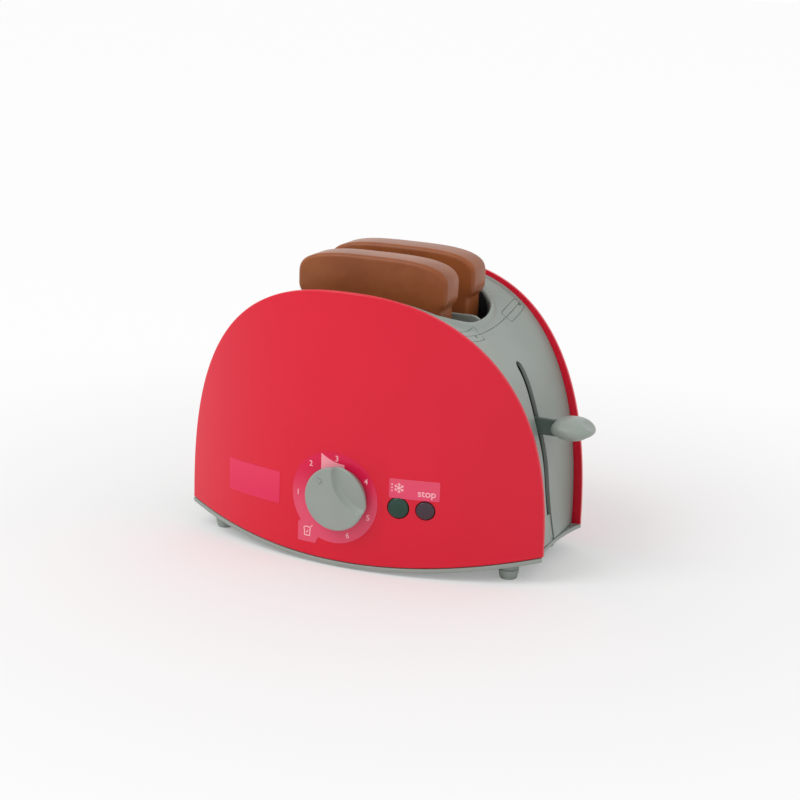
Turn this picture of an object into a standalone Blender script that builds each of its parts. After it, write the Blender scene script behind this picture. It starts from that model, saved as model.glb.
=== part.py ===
"""Toy toaster with a pop-up carriage, timer knob, defrost and stop buttons and two slices of toast.

Metres, +Z up. +X runs along the toaster to the lever, the knob faces -Y, and z = 0 is the table under
the feet. Every piece hangs on one empty, which sets the middle of the bounding box at x = 0, y = 0.
"""
import math

import bmesh
import bpy
from mathutils import Matrix, Vector

MM = 0.001

# Body
HALF_LENGTH = 95.0 * MM         # middle to the tip of a red panel
END_HALF_WIDTH = 29.2 * MM      # half the width over the panels at their tips
BOW = 25.2 * MM                 # how far each panel bulges in the middle
ARCH_FOOT = 13.78 * MM          # height of the panels' tips
ARCH_HEIGHT = 122.0 * MM        # rise of the arch above its feet
ARCH_LENGTH_POWER = 2.34
ARCH_HEIGHT_POWER = 2.52
DIP = 10.6 * MM                 # sag of the bottom line between the tips
FIT = 0.3 * MM                  # gap between pieces that sit on each other
RUN = 0.4 * MM                  # gap round pieces that slide or turn
OVERRUN = 4.0 * MM              # how far a cut reaches past what it cuts
WELD = 0.002 * MM               # points closer than this are one point
FLAT_ANGLE = math.radians(0.1)  # faces that meet flatter than this are one face
SMOOTH_ANGLE = math.radians(35)

# Red panels
PANEL = 2.3 * MM
PANEL_EDGE = 0.7 * MM           # chamfer round the outer face
PEG_RADIUS = 1.5 * MM
LOW_PEG_SHARE = 0.7368          # pegs' places along half the body
LOW_PEG_Z = 36.0 * MM
HIGH_PEG_SHARE = 0.4632
HIGH_PEG_DROP = 34.78 * MM      # arch's top to the upper pegs

# Housing and cover
SHELL = 2.2 * MM
SIDE_WALL = 1.8 * MM
FOOT_INSET = 5.2 * MM           # how far the trough lies inside the arch at its feet
TOP_INSET = 2.0 * MM            # the same beside a panel at the top
CENTRE_INSET = 8.6 * MM         # the same along the middle
INSET_POWER = 1.5
FOOT_BLEND_SHARE = 0.25
ARCH_STEPS = 40
TROUGH_STEPS = 6
SEAM_MARGIN = 3.9 * MM          # collar to the cover's end seam
LIP = 2.0 * MM                  # ledge that carries the cover's ends
LIP_REACH = 3.2 * MM
LIP_ROOT = 4.6 * MM
CLIP_WIDTH = 3.0 * MM           # how far a cover tongue crosses the seam
CLIP_LENGTH = 16.0 * MM
CLIP_FRONT_Y = -21.0 * MM
CLIP_REAR_Y = 33.0 * MM

# Bread opening
OVAL_POWER = 3.8
OVAL_STEPS = 48
END_CLEARANCE = 6.55 * MM       # toast to the opening's end
SIDE_CLEARANCE = 8.9 * MM       # toast to the opening's side
COLLAR_WALL = 1.7 * MM
COLLAR_RISE = 5.8 * MM          # flat collar above the trough's middle
WELL_DEPTH = 17.5 * MM
DIVIDER = 1.8 * MM
DIVIDER_DROP = 1.7 * MM
DIVIDER_STEPS = 4

# Base
RIM = 2.2 * MM
END_CURVE = 4.8 * MM            # hollow of the rim's ends
END_CURVE_POWER = 2.2
PLATE_STEPS = 28
TONGUE_TOP = 25.2 * MM
TONGUE_RECESS = 0.6 * MM
TONGUE_WALL = 2.2 * MM

# Feet and screws
FOOT_SHARE = 0.8158             # feet's place along half the body
FOOT_Y = 26.5 * MM
FOOT_RADIUS = 5.0 * MM
FOOT_TIP_RADIUS = 4.2 * MM
FOOT_HEIGHT = 4.7 * MM
FOOT_PEG_RADIUS = 1.8 * MM
FOOT_PEG_LENGTH = 4.5 * MM
SCREW_SHARE = 0.6526            # screws' place along half the body
SCREW_RADIUS = 1.3 * MM
SCREW_HEAD_RADIUS = 2.8 * MM
SCREW_HEAD = 1.8 * MM
SCREW_LENGTH = 12.0 * MM
SCREW_DEPTH = 3.0 * MM          # head seat above the plate's underside
PILLAR_RISE = 3.0 * MM
PILLAR_RADIUS = 4.0 * MM
SCREW_BOSS_RADIUS = 3.5 * MM
SCREW_BOSS_TOP = 24.0 * MM
SCREW_WEB = 2.0 * MM            # rib from the boss to the side wall

# Toast
TOAST_THICKNESS_SHARE = 0.30882 # slice to half the body's greatest width
TOAST_GAP_SHARE = 0.33456       # space between the slices to the same
TOAST_ABOVE_ARCH = 12.52 * MM   # slices' tops above the panels' tops
TOAST_HEIGHT = 87.5 * MM
CROWN_SHARE = 0.41316           # half a slice's crown to half the body's length
CROWN_POWER = 3.2
CROWN_DROP = 12.8 * MM          # slice's top to its widest level
CROWN_STEPS = 9
CROWN_RADIUS = 10.0 * MM        # underside of the crown
TUCK_STEPS = 4
NECK_INSET = 3.75 * MM          # neck inside the crown
TOAST_CORNER = 3.0 * MM
TOAST_ROUND = 2.4 * MM          # rounded edge of both faces
TOAST_ROUND_SHARES = ((0.0, 1.0), (0.29, 0.29), (1.0, 0.0))

# Guide, rods and springs
GUIDE_WALL = 1.4 * MM
ARM_GAP = 0.6 * MM
ROD_MARGIN = 6.8 * MM           # guide wall to a rod's middle
ROD_RADIUS = 1.5 * MM
ROD_SOCKET = 5.5 * MM
ROD_BELOW_SKIN = 6.66 * MM      # rod's tip below the body's surface
ROD_BOSS_RADIUS = 3.6 * MM
SPRING_WIRE = 0.35 * MM
SPRING_RADIUS = 2.9 * MM
SPRING_TURNS = 6
SPRING_POINTS = 8
SPRING_CLOSED = 5.0 * MM        # room left for a lift spring at the carriage's lowest place

# Carriage and lever
HUB_RADIUS = 4.0 * MM
HUB_BELOW_SPINE = 0.3 * MM
HUB_ABOVE_STEM = 2.4 * MM
STEM_ABOVE_TOAST = 5.0 * MM     # stem's underside above the slices' bottoms
STEM_HEIGHT = 7.8 * MM
STEM_WIDTH = 2.4 * MM
STEM_OUTSIDE = 15.89 * MM       # stem beyond the body's surface
SLOT_GAP = 1.4 * MM
SLOT_SPARE = 4.4 * MM           # slot above the stem at its highest
SPINE_WIDTH = 4.0 * MM
SPINE_HEIGHT = 9.4 * MM
SPINE_RISE = 0.7 * MM           # spine's top above the stem's underside
CRADLE_INSET = 8.25 * MM        # cradle's ends inside the crown's
CRADLE_FLOOR = 1.9 * MM
CRADLE_LIP = 1.2 * MM
CRADLE_LIP_HEIGHT = 6.0 * MM
CROSS_ARM_INSET = 14.25 * MM
CROSS_ARM_WIDTH = 6.0 * MM
CROSS_ARM_DEPTH = 3.4 * MM
HANDLE_ON_STEM = 8.7 * MM       # length of stem inside the handle
HANDLE_LENGTH = 20.3 * MM
HANDLE_WIDTH = 24.0 * MM
HANDLE_HEIGHT = 14.1 * MM
HANDLE_DROP = 2.2 * MM
HANDLE_PLAN_POWER = 3.0
HANDLE_SIDE_POWER = 2.3
HANDLE_RINGS = 9
HANDLE_POINTS = 24

# Knob
KNOB_Z = 36.5 * MM
KNOB_RADIUS = 16.0 * MM
KNOB_PROUD = 8.0 * MM
KNOB_FRONT_WALL = 1.8 * MM
KNOB_ROUND = 0.8 * MM
SCOOP_SHARE = 1.15
SCOOP_X_SHARE = 1.04
SCOOP_Z_SHARE = 0.78
SCOOP_DEPTH = 2.0 * MM
SPINDLE_RADIUS = 3.0 * MM
WHEEL_RADIUS = 10.0 * MM
WHEEL_NOTCH = 0.8 * MM
WHEEL_WIDTH = 2.5 * MM
WHEEL_TEETH = 24
BRACKET_GAP = 1.0 * MM
BRACKET_THICKNESS = 2.0 * MM
BRACKET_HALF_WIDTH = 7.0 * MM
BRACKET_ABOVE = 6.0 * MM
WASHER_RADIUS = 4.6 * MM
WASHER_THICKNESS = 1.0 * MM
SPINDLE_TAIL = 1.2 * MM
CLICK_STRIP = 0.6 * MM
CLICK_REACH = 8.0 * MM
CLICK_POST_X = 15.0 * MM
CLICK_POST_WIDTH = 3.0 * MM
CLICK_TAB = 4.0 * MM
CLICK_DROP = 1.6 * MM
CLICK_BUMP_HALF = 2.0 * MM

# Buttons and latch
BUTTON_SPACING = 12.9 * MM
DEFROST_Z = 34.5 * MM
DEFROST_RADIUS = 5.0 * MM
STOP_TO_RAIL = 6.1 * MM
STOP_Z = 34.4 * MM
STOP_RADIUS = 4.35 * MM
BUTTON_PROUD = 0.8 * MM
BUTTON_CROWN = 0.3 * MM
BUTTON_FACE_SHARES = ((1.0, 0.0), (0.75, 0.7), (0.4, 1.0))
BUTTON_TRAVEL = 1.6 * MM
BUTTON_FLANGE = 1.2 * MM
BUTTON_FLANGE_THICKNESS = 1.0 * MM
BUTTON_STEM_RADIUS = 1.6 * MM
BUTTON_SPRING_RADIUS = 2.5 * MM
BUTTON_SPRING_TURNS = 5
SEAT_THICKNESS = 1.6 * MM
SEAT_HALF_WIDTH = 4.0 * MM
SEAT_ABOVE = 4.0 * MM
DEFROST_SEAT_GAP = 5.4 * MM
STOP_SEAT_GAP = 5.7 * MM
LATCH_ARM = 8.1 * MM            # stop button to the pivot
LATCH_REACH = 5.2 * MM          # pivot to the underside of the nose
LATCH_NOSE = 2.4 * MM
LATCH_PLATE = 1.6 * MM
LATCH_BARREL_RADIUS = 2.2 * MM
LATCH_PIN_RADIUS = 1.0 * MM
LATCH_TAIL = 3.0 * MM
LATCH_SIDE = 1.9 * MM
LATCH_LUG = 2.5 * MM
LUG_HALF_HEIGHT = 2.2 * MM
RAIL_MARGIN = 1.3 * MM
RAIL_WIDTH = 4.0 * MM
RAIL_THICKNESS = 2.5 * MM
RAIL_ARM = 4.5 * MM
RAIL_FOOT = 18.8 * MM           # rail below the stem
RAIL_GAP = 3.4 * MM             # latch plate to the rail
ARM_INSET = 0.4 * MM


def bow(x):
    """Half the width over the panels' outer faces."""
    return END_HALF_WIDTH + BOW * (1 - (x / HALF_LENGTH) ** 2)


def bottom_line(x):
    """Height of the panels' bottom edge."""
    return ARCH_FOOT - DIP * (1 - (x / HALF_LENGTH) ** 2)


def plate_top(x):
    return bottom_line(x) - FIT


def plate_middle(x):
    return plate_top(x) - RIM / 2


def side_outer(x):
    """Outer face of the housing's side wall, just inside the panel."""
    return bow(x) - PANEL - FIT


def side_inner(x):
    return side_outer(x) - SIDE_WALL


def arch_point(t, inward=0.0):
    """Point of the arch at angle t, moved inward along the arch's normal."""
    run = math.cos(t)
    rise = max(math.sin(t), 0.0)
    x = HALF_LENGTH * math.copysign(abs(run) ** (2 / ARCH_LENGTH_POWER), run)
    z = ARCH_HEIGHT * rise ** (2 / ARCH_HEIGHT_POWER)
    slope_x = ARCH_LENGTH_POWER / HALF_LENGTH * abs(x / HALF_LENGTH) ** (ARCH_LENGTH_POWER - 1)
    slope_z = ARCH_HEIGHT_POWER / ARCH_HEIGHT * (z / ARCH_HEIGHT) ** (ARCH_HEIGHT_POWER - 1)
    size = math.hypot(slope_x, slope_z)
    return x - inward * math.copysign(slope_x, x) / size, ARCH_FOOT + z - inward * slope_z / size


def trough_inset(t, v):
    """How far the trough lies inside the arch; v runs from -1 to 1 across it."""
    rise = max(math.sin(t), 0.0)
    edge = FOOT_INSET - (FOOT_INSET - TOP_INSET) * rise ** INSET_POWER
    blend = 1 - min(rise ** (2 / ARCH_HEIGHT_POWER) / FOOT_BLEND_SHARE, 1)
    middle = CENTRE_INSET - (CENTRE_INSET - FOOT_INSET) * blend ** 2
    return edge + (middle - edge) * (1 - v * v)


def trough_point(t, share, side, depth):
    """Point on the trough's surface, or below it, at a share of the way out to a side face."""
    v = share
    for attempt in range(4):
        x, z = arch_point(t, trough_inset(t, v) + depth)
        v = share * side(x) / side_outer(x)
    return x, share * side(x), z


def trough_height(x, y, depth=0.0):
    """Height of the trough's surface, or of the one this deep below it, over a plan point."""
    low, high = 0.0, math.pi / 2
    v = y / side_outer(x)
    while high - low > math.pi / ARCH_STEPS ** 4:
        t = (low + high) / 2
        if arch_point(t, trough_inset(t, v) + depth)[0] > abs(x):
            low = t
        else:
            high = t
    return arch_point(low, trough_inset(low, v) + depth)[1]


def trough_reach(z, depth=0.0):
    """Distance of the trough's middle line from the body's middle at a height."""
    low, high = 0.0, math.pi / 2
    while high - low > math.pi / ARCH_STEPS ** 4:
        t = (low + high) / 2
        if arch_point(t, trough_inset(t, 0.0) + depth)[1] < z:
            low = t
        else:
            high = t
    return arch_point(low, trough_inset(low, 0.0) + depth)[0]


def oval(half_length, half_width):
    """Plan outline of the bread opening and of what follows it."""
    points = []
    for k in range(OVAL_STEPS):
        angle = 2 * math.pi * k / OVAL_STEPS
        x = math.copysign(abs(math.cos(angle)) ** (2 / OVAL_POWER), math.cos(angle))
        y = math.copysign(abs(math.sin(angle)) ** (2 / OVAL_POWER), math.sin(angle))
        points.append((half_length * x, half_width * y))
    return points


# Places that follow from the sizes
LOW_PEG_X = LOW_PEG_SHARE * HALF_LENGTH
HIGH_PEG_X = HIGH_PEG_SHARE * HALF_LENGTH
HIGH_PEG_Z = ARCH_FOOT + ARCH_HEIGHT - HIGH_PEG_DROP
FOOT_X = FOOT_SHARE * HALF_LENGTH
SCREW_X = SCREW_SHARE * HALF_LENGTH
TOAST_THICKNESS = TOAST_THICKNESS_SHARE * bow(0.0)
TOAST_Y = (TOAST_GAP_SHARE * bow(0.0) + TOAST_THICKNESS) / 2
TOAST_TOP = ARCH_FOOT + ARCH_HEIGHT + TOAST_ABOVE_ARCH
TOAST_BOTTOM = TOAST_TOP - TOAST_HEIGHT
CROWN_HALF = CROWN_SHARE * HALF_LENGTH
NECK_HALF = CROWN_HALF - NECK_INSET
OPENING_HALF_LENGTH = CROWN_HALF + END_CLEARANCE
OPENING_HALF_WIDTH = TOAST_Y + TOAST_THICKNESS / 2 + SIDE_CLEARANCE
COLLAR_HALF_LENGTH = OPENING_HALF_LENGTH + COLLAR_WALL
COLLAR_HALF_WIDTH = OPENING_HALF_WIDTH + COLLAR_WALL
GUIDE_HALF_LENGTH = OPENING_HALF_LENGTH + GUIDE_WALL
GUIDE_HALF_WIDTH = OPENING_HALF_WIDTH + GUIDE_WALL
SEAM_X = COLLAR_HALF_LENGTH + SEAM_MARGIN
COLLAR_TOP = trough_height(COLLAR_HALF_LENGTH, 0.0) + COLLAR_RISE
WELL_BOTTOM = COLLAR_TOP - WELL_DEPTH
ROD_X = GUIDE_HALF_LENGTH + ROD_MARGIN
STEM_BOTTOM = TOAST_BOTTOM + STEM_ABOVE_TOAST
STEM_REACH = trough_reach(STEM_BOTTOM + STEM_HEIGHT / 2) + STEM_OUTSIDE
SPINE_TOP = STEM_BOTTOM + SPINE_RISE
SPINE_BOTTOM = SPINE_TOP - SPINE_HEIGHT
HUB_BOTTOM = SPINE_BOTTOM - HUB_BELOW_SPINE
HUB_TOP = STEM_BOTTOM + STEM_HEIGHT + HUB_ABOVE_STEM
ROD_TOP = trough_height(ROD_X, 0.0) - ROD_BELOW_SKIN
ROD_BOSS_BOTTOM = ROD_TOP - ROD_SOCKET
ROD_SEAT_TOP = plate_top(ROD_X) + ROD_SOCKET
UP_TRAVEL = ROD_BOSS_BOTTOM - 2 * RUN - HUB_TOP
DOWN_TRAVEL = HUB_BOTTOM - ROD_SEAT_TOP - SPRING_CLOSED
SLOT_TOP = STEM_BOTTOM + STEM_HEIGHT + UP_TRAVEL + SLOT_SPARE
CRADLE_HALF_LENGTH = CROWN_HALF - CRADLE_INSET
CROSS_ARM_X = CROWN_HALF - CROSS_ARM_INSET
CRADLE_TOP = TOAST_BOTTOM - RUN
SCREW_Y = side_inner(SCREW_X + PILLAR_RADIUS / 2) - FIT - PILLAR_RADIUS
PILLAR_TOP = plate_top(SCREW_X) + PILLAR_RISE
SCREW_SEAT = plate_top(SCREW_X) - RIM + SCREW_DEPTH
HANDLE_START = STEM_REACH - HANDLE_ON_STEM
HANDLE_END = HANDLE_START + HANDLE_LENGTH
HANDLE_TOP = STEM_BOTTOM - HANDLE_DROP + HANDLE_HEIGHT
KNOB_FACE = -bow(0.0) - KNOB_PROUD
RAIL_X = GUIDE_HALF_LENGTH + RAIL_MARGIN
STOP_X = RAIL_X - STOP_TO_RAIL
DEFROST_X = STOP_X - BUTTON_SPACING
WHEEL_FRONT = -side_inner(CLICK_POST_X + CLICK_POST_WIDTH / 2) + RUN + FIT
WHEEL_BACK = WHEEL_FRONT + WHEEL_WIDTH
BRACKET_FRONT = WHEEL_BACK + BRACKET_GAP
BRACKET_BACK = BRACKET_FRONT + BRACKET_THICKNESS
SPINDLE_END = BRACKET_BACK + FIT + WASHER_THICKNESS + SPINDLE_TAIL
DEFROST_FLANGE_Y = -side_inner(DEFROST_X + DEFROST_RADIUS + BUTTON_FLANGE) + FIT
STOP_FLANGE_Y = -side_inner(STOP_X + STOP_RADIUS + BUTTON_FLANGE) + FIT
DEFROST_SEAT_Y = DEFROST_FLANGE_Y + BUTTON_FLANGE_THICKNESS + DEFROST_SEAT_GAP
LATCH_PIVOT_Z = STOP_Z + LATCH_ARM
LATCH_PLATE_FRONT = STOP_FLANGE_Y + BUTTON_FLANGE_THICKNESS + BUTTON_TRAVEL + LATCH_PLATE
LATCH_PLATE_BACK = LATCH_PLATE_FRONT + LATCH_PLATE
LATCH_PIVOT_Y = (LATCH_PLATE_FRONT + LATCH_PLATE_BACK) / 2
NOSE_BOTTOM = LATCH_PIVOT_Z + LATCH_REACH
NOSE_TOP = NOSE_BOTTOM + LATCH_NOSE
RAIL_FRONT = LATCH_PLATE_BACK + RAIL_GAP
RAIL_TOP = NOSE_BOTTOM + DOWN_TRAVEL - FIT
RAIL_BOTTOM = STEM_BOTTOM - RAIL_FOOT
LATCH_START = STOP_X - LATCH_SIDE
LATCH_END = RAIL_X + RAIL_WIDTH - ARM_INSET - FIT
STOP_SEAT_Y = LATCH_PLATE_BACK + STOP_SEAT_GAP
MIDDLE_X = -(HANDLE_END - HALF_LENGTH) / 2
MIDDLE_Y = KNOB_PROUD / 2


def material(name, colour, roughness, metallic=0.0):
    made = bpy.data.materials.new(name)
    made.use_nodes = True
    shader = made.node_tree.nodes["Principled BSDF"]
    shader.inputs["Base Color"].default_value = (*colour, 1.0)
    shader.inputs["Roughness"].default_value = roughness
    shader.inputs["Metallic"].default_value = metallic
    made.diffuse_color = (*colour, 1.0)
    return made


def as_object(mesh_data, name="tool"):
    """A closed bmesh as an object, faces outwards."""
    bmesh.ops.remove_doubles(mesh_data, verts=mesh_data.verts, dist=WELD)
    bmesh.ops.recalc_face_normals(mesh_data, faces=mesh_data.faces)
    bmesh.ops.triangulate(mesh_data, faces=[f for f in mesh_data.faces if len(f.verts) > 3])
    mesh = bpy.data.meshes.new(name)
    mesh_data.to_mesh(mesh)
    mesh_data.free()
    made = bpy.data.objects.new(name, mesh)
    bpy.context.collection.objects.link(made)
    return made


def combine(target, tool, operation):
    """Apply one exact Boolean to the target and use up the tool."""
    modifier = target.modifiers.new(operation, "BOOLEAN")
    modifier.operation = operation
    modifier.solver = "EXACT"
    modifier.object = tool
    graph = bpy.context.evaluated_depsgraph_get()
    mesh = bpy.data.meshes.new_from_object(target.evaluated_get(graph))
    target.modifiers.clear()
    target.data = tidy_faces(mesh)
    bpy.data.objects.remove(tool)
    return target


def tidy_faces(mesh):
    """Weld the points and join the flat faces that a Boolean leaves in pieces."""
    data = bmesh.new()
    data.from_mesh(mesh)
    bmesh.ops.remove_doubles(data, verts=data.verts, dist=WELD)
    bmesh.ops.dissolve_degenerate(data, edges=data.edges, dist=WELD)
    bmesh.ops.dissolve_limit(data, angle_limit=FLAT_ANGLE, verts=data.verts, edges=data.edges)
    data.to_mesh(mesh)
    data.free()
    return mesh


def fuse(target, *tools):
    for tool in tools:
        combine(target, tool, "UNION")
    return target


def cut(target, *tools):
    for tool in tools:
        combine(target, tool, "DIFFERENCE")
    return target


def common(target, tool):
    return combine(target, tool, "INTERSECT")


def rings_solid(rings):
    """Closed solid through rings of equal point counts, capped at both ends."""
    made = bmesh.new()
    loops = [[made.verts.new(p) for p in ring] for ring in rings]
    for lower, upper in zip(loops, loops[1:]):
        for k in range(len(lower)):
            following = (k + 1) % len(lower)
            made.faces.new((lower[k], lower[following], upper[following], upper[k]))
    made.faces.new(list(reversed(loops[0])))
    made.faces.new(loops[-1])
    return as_object(made)


def prism(outline, low, high, axis="Z"):
    """Outline pushed along an axis. Its points are the other two coordinates, in XYZ order."""
    place = {
        "X": lambda p, q: (q, p[0], p[1]),
        "Y": lambda p, q: (p[0], q, p[1]),
        "Z": lambda p, q: (p[0], p[1], q),
    }[axis]
    return rings_solid([[place(p, low) for p in outline], [place(p, high) for p in outline]])


def box(x, y, z):
    outline = [(x[0], y[0]), (x[1], y[0]), (x[1], y[1]), (x[0], y[1])]
    return prism(outline, z[0], z[1])


def circle(centre, radius, steps=24):
    turn = 2 * math.pi / steps
    return [
        (centre[0] + radius * math.cos(turn * k), centre[1] + radius * math.sin(turn * k))
        for k in range(steps)
    ]


def cylinder(centre, radius, low, high, axis="Z", steps=24):
    return prism(circle(centre, radius, steps), low, high, axis)


def turned(profile, centre, axis="Z", steps=32):
    """Solid of revolution from (radius, place along the axis) pairs."""
    place = {
        "Y": lambda p, q: (p[0], q, p[1]),
        "Z": lambda p, q: (p[0], p[1], q),
    }[axis]
    return rings_solid([
        [place(p, along) for p in circle(centre, radius, steps)] for radius, along in profile
    ])


def coil(start, direction, length, radius, turns, wire):
    """Open compression coil as one swept wire of four sides."""
    along = Vector(direction)
    side = along.orthogonal().normalized()
    up = along.cross(side)
    steps = turns * SPRING_POINTS
    centres = []
    for k in range(steps + 1):
        angle = 2 * math.pi * k / SPRING_POINTS
        spot = Vector(start) + along * (wire + (length - 2 * wire) * k / steps)
        centres.append(spot + (side * math.cos(angle) + up * math.sin(angle)) * radius)
    rings = []
    for k, centre in enumerate(centres):
        angle = 2 * math.pi * k / SPRING_POINTS
        outward = side * math.cos(angle) + up * math.sin(angle)
        rings.append([
            centre + outward * wire * math.cos(math.pi * j / 2) + along * wire * math.sin(math.pi * j / 2)
            for j in range(4)
        ])
    return rings_solid(rings)


def finish(made, name, surface, parent, joint=(0.0, 0.0, 0.0)):
    """Name a solid, give it its material and set its origin at its joint."""
    made.name = name
    made.data.name = name
    made.data.transform(Matrix.Translation(-Vector(joint)))
    made.data.materials.clear()
    made.data.materials.append(surface)
    made.data.shade_smooth()
    made.data.set_sharp_from_angle(angle=SMOOTH_ANGLE)
    made.parent = parent
    made.location = joint
    return made


def saddle_block(depth=0.0, side=side_outer, drop=0.0):
    """Solid below the trough's surface, between two side faces, down to the bottom line."""
    made = bmesh.new()
    top, bottom = [], []
    for i in range(ARCH_STEPS + 1):
        t = math.pi * i / ARCH_STEPS
        row = []
        for j in range(TROUGH_STEPS + 1):
            share = 2 * j / TROUGH_STEPS - 1
            row.append(made.verts.new(trough_point(t, share, side, depth)))
        top.append(row)
        edge = row[-1].co
        ends = [made.verts.new((edge.x, s * side(edge.x), bottom_line(edge.x) - drop)) for s in (-1, 1)]
        bottom.append(ends)
    for i in range(ARCH_STEPS):
        for j in range(TROUGH_STEPS):
            made.faces.new((top[i][j], top[i + 1][j], top[i + 1][j + 1], top[i][j + 1]))
        made.faces.new((bottom[i][0], bottom[i][1], bottom[i + 1][1], bottom[i + 1][0]))
        made.faces.new((top[i][0], bottom[i][0], bottom[i + 1][0], top[i + 1][0]))
        made.faces.new((top[i][-1], top[i + 1][-1], bottom[i + 1][1], bottom[i][1]))
    for i in (0, ARCH_STEPS):
        made.faces.new([*top[i], bottom[i][1], bottom[i][0]])
    return as_object(made)


def plate_slab(top, bottom):
    """Base outline as a plate between two heights that follow x."""
    made = bmesh.new()
    layers = []
    for height in (top, bottom):
        grid = []
        for j in range(TROUGH_STEPS + 1):
            v = 2 * j / TROUGH_STEPS - 1
            reach = HALF_LENGTH - END_CURVE * (1 - abs(v) ** END_CURVE_POWER)
            row = []
            for i in range(PLATE_STEPS + 1):
                x = reach * (2 * i / PLATE_STEPS - 1)
                row.append(made.verts.new((x, v * bow(x), height(x))))
            grid.append(row)
        layers.append(grid)
    for grid in layers:
        for j in range(TROUGH_STEPS):
            for i in range(PLATE_STEPS):
                made.faces.new((grid[j][i], grid[j][i + 1], grid[j + 1][i + 1], grid[j + 1][i]))
    upper, lower = layers
    for j in (0, TROUGH_STEPS):
        for i in range(PLATE_STEPS):
            made.faces.new((upper[j][i], upper[j][i + 1], lower[j][i + 1], lower[j][i]))
    for i in (0, PLATE_STEPS):
        for j in range(TROUGH_STEPS):
            made.faces.new((upper[j][i], upper[j + 1][i], lower[j + 1][i], lower[j][i]))
    return as_object(made)


def cover_plan(gap):
    """Plan outline of the cover: bowed sides, straight ends with two tongues each, grown by a gap."""
    half = SEAM_X + gap
    steps = PLATE_STEPS // 2
    along = [half * (2 * i / steps - 1) for i in range(steps + 1)]
    clips = []
    for middle in (CLIP_FRONT_Y, CLIP_REAR_Y):
        start, end = middle - CLIP_LENGTH / 2 - gap, middle + CLIP_LENGTH / 2 + gap
        clips += [(half, start), (half + CLIP_WIDTH, start), (half + CLIP_WIDTH, end), (half, end)]
    front = [(x, -side_inner(x) + FIT - gap) for x in along]
    rear = [(x, side_inner(x) - FIT + gap) for x in reversed(along)]
    far = [(-x, y) for x, y in reversed(clips)]
    return [*front, *clips, *rear, *far]


def make_housing():
    """Moulded body: saddle ends, side walls, cover ledge, lever slot, bosses and latch lugs."""
    lip_depth = SHELL + FIT + LIP
    body = saddle_block()
    cut(body, saddle_block(lip_depth, side_inner, OVERRUN))
    tall = (0.0, ARCH_FOOT + ARCH_HEIGHT + OVERRUN)
    wide = HALF_LENGTH + OVERRUN
    for sign in (-1, 1):
        thin = saddle_block(SHELL, side_inner, OVERRUN)
        ends = sorted((sign * (SEAM_X + LIP_ROOT), sign * wide))
        cut(body, common(thin, box(ends, (-wide, wide), (-tall[1], tall[1]))))
    for sign in (-1, 1):
        boss = cylinder((sign * ROD_X, 0.0), ROD_BOSS_RADIUS, ROD_BOSS_BOTTOM, tall[1])
        fuse(body, common(boss, saddle_block(SHELL / 2, side_inner, 0.0)))
    over_lip = prism(cover_plan(0.0), ARCH_HEIGHT / 2, tall[1])
    cut(over_lip, saddle_block(SHELL + FIT, side_outer, OVERRUN))
    cut(body, over_lip)
    reach = SEAM_X - LIP_REACH
    steps = PLATE_STEPS // 2
    along = [reach * (2 * i / steps - 1) for i in range(steps + 1)]
    window = [(x, -side_inner(x) - FIT) for x in along] + [(x, side_inner(x) + FIT) for x in reversed(along)]
    cut(body, prism(window, ARCH_HEIGHT / 2, tall[1]))
    for sign in (-1, 1):
        hole = cylinder((sign * ROD_X, 0.0), ROD_RADIUS + FIT, ROD_BOSS_BOTTOM - OVERRUN, ROD_TOP + FIT)
        cut(body, hole)
        for side in (-1, 1):
            spot = (sign * SCREW_X, side * SCREW_Y)
            fuse(body, cylinder(spot, SCREW_BOSS_RADIUS, PILLAR_TOP + FIT, SCREW_BOSS_TOP))
            wall = side * (side_inner(SCREW_X + SCREW_WEB / 2) + SIDE_WALL / 2)
            web = (spot[0] - SCREW_WEB / 2, spot[0] + SCREW_WEB / 2)
            span = sorted((spot[1], wall))
            fuse(body, box(web, span, (PILLAR_TOP + 2 * FIT, SCREW_BOSS_TOP - FIT)))
            pilot = SCREW_SEAT + SCREW_LENGTH + FIT
            cut(body, cylinder(spot, SCREW_RADIUS + FIT, PILLAR_TOP - OVERRUN, pilot, steps=16))
    slot = STEM_WIDTH / 2 + SLOT_GAP
    slot_start = ROD_X + HUB_RADIUS + SLOT_GAP
    cut(body, box((slot_start, wide), (-slot, slot), (0.0, SLOT_TOP)))
    for start, end in latch_lugs():
        outer = -side_inner(end) - SIDE_WALL / 2
        inner = LATCH_PIVOT_Y + LUG_HALF_HEIGHT
        low, high = LATCH_PIVOT_Z - LUG_HALF_HEIGHT, LATCH_PIVOT_Z + LUG_HALF_HEIGHT
        fuse(body, box((start, end), (outer, inner), (low, high)))
    pin = (LATCH_PIVOT_Y, LATCH_PIVOT_Z)
    first, last = latch_lugs()
    hole = (first[0] - OVERRUN, last[1] + OVERRUN)
    cut(body, cylinder(pin, LATCH_PIN_RADIUS + FIT, hole[0], hole[1], "X", 16))
    for centre, radius in front_holes():
        cut(body, cylinder(centre, radius, -bow(0.0), 0.0, "Y"))
    for x, z in peg_places():
        cut(body, cylinder((x, z), PEG_RADIUS + FIT, -bow(0.0), bow(0.0), "Y", 16))
    return body


def latch_lugs():
    """Spans along X of the two lugs that hold the latch pin."""
    return (
        (LATCH_START - RUN - LATCH_LUG, LATCH_START - RUN),
        (LATCH_END + RUN, LATCH_END + RUN + LATCH_LUG),
    )


def front_holes():
    """Holes through the front wall and panel: knob spindle and both buttons."""
    return (
        ((0.0, KNOB_Z), SPINDLE_RADIUS + RUN),
        ((DEFROST_X, DEFROST_Z), DEFROST_RADIUS + RUN),
        ((STOP_X, STOP_Z), STOP_RADIUS + RUN),
    )


def peg_places():
    places = []
    for sign in (-1, 1):
        places += [(sign * LOW_PEG_X, LOW_PEG_Z), (sign * HIGH_PEG_X, HIGH_PEG_Z)]
    return places


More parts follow.
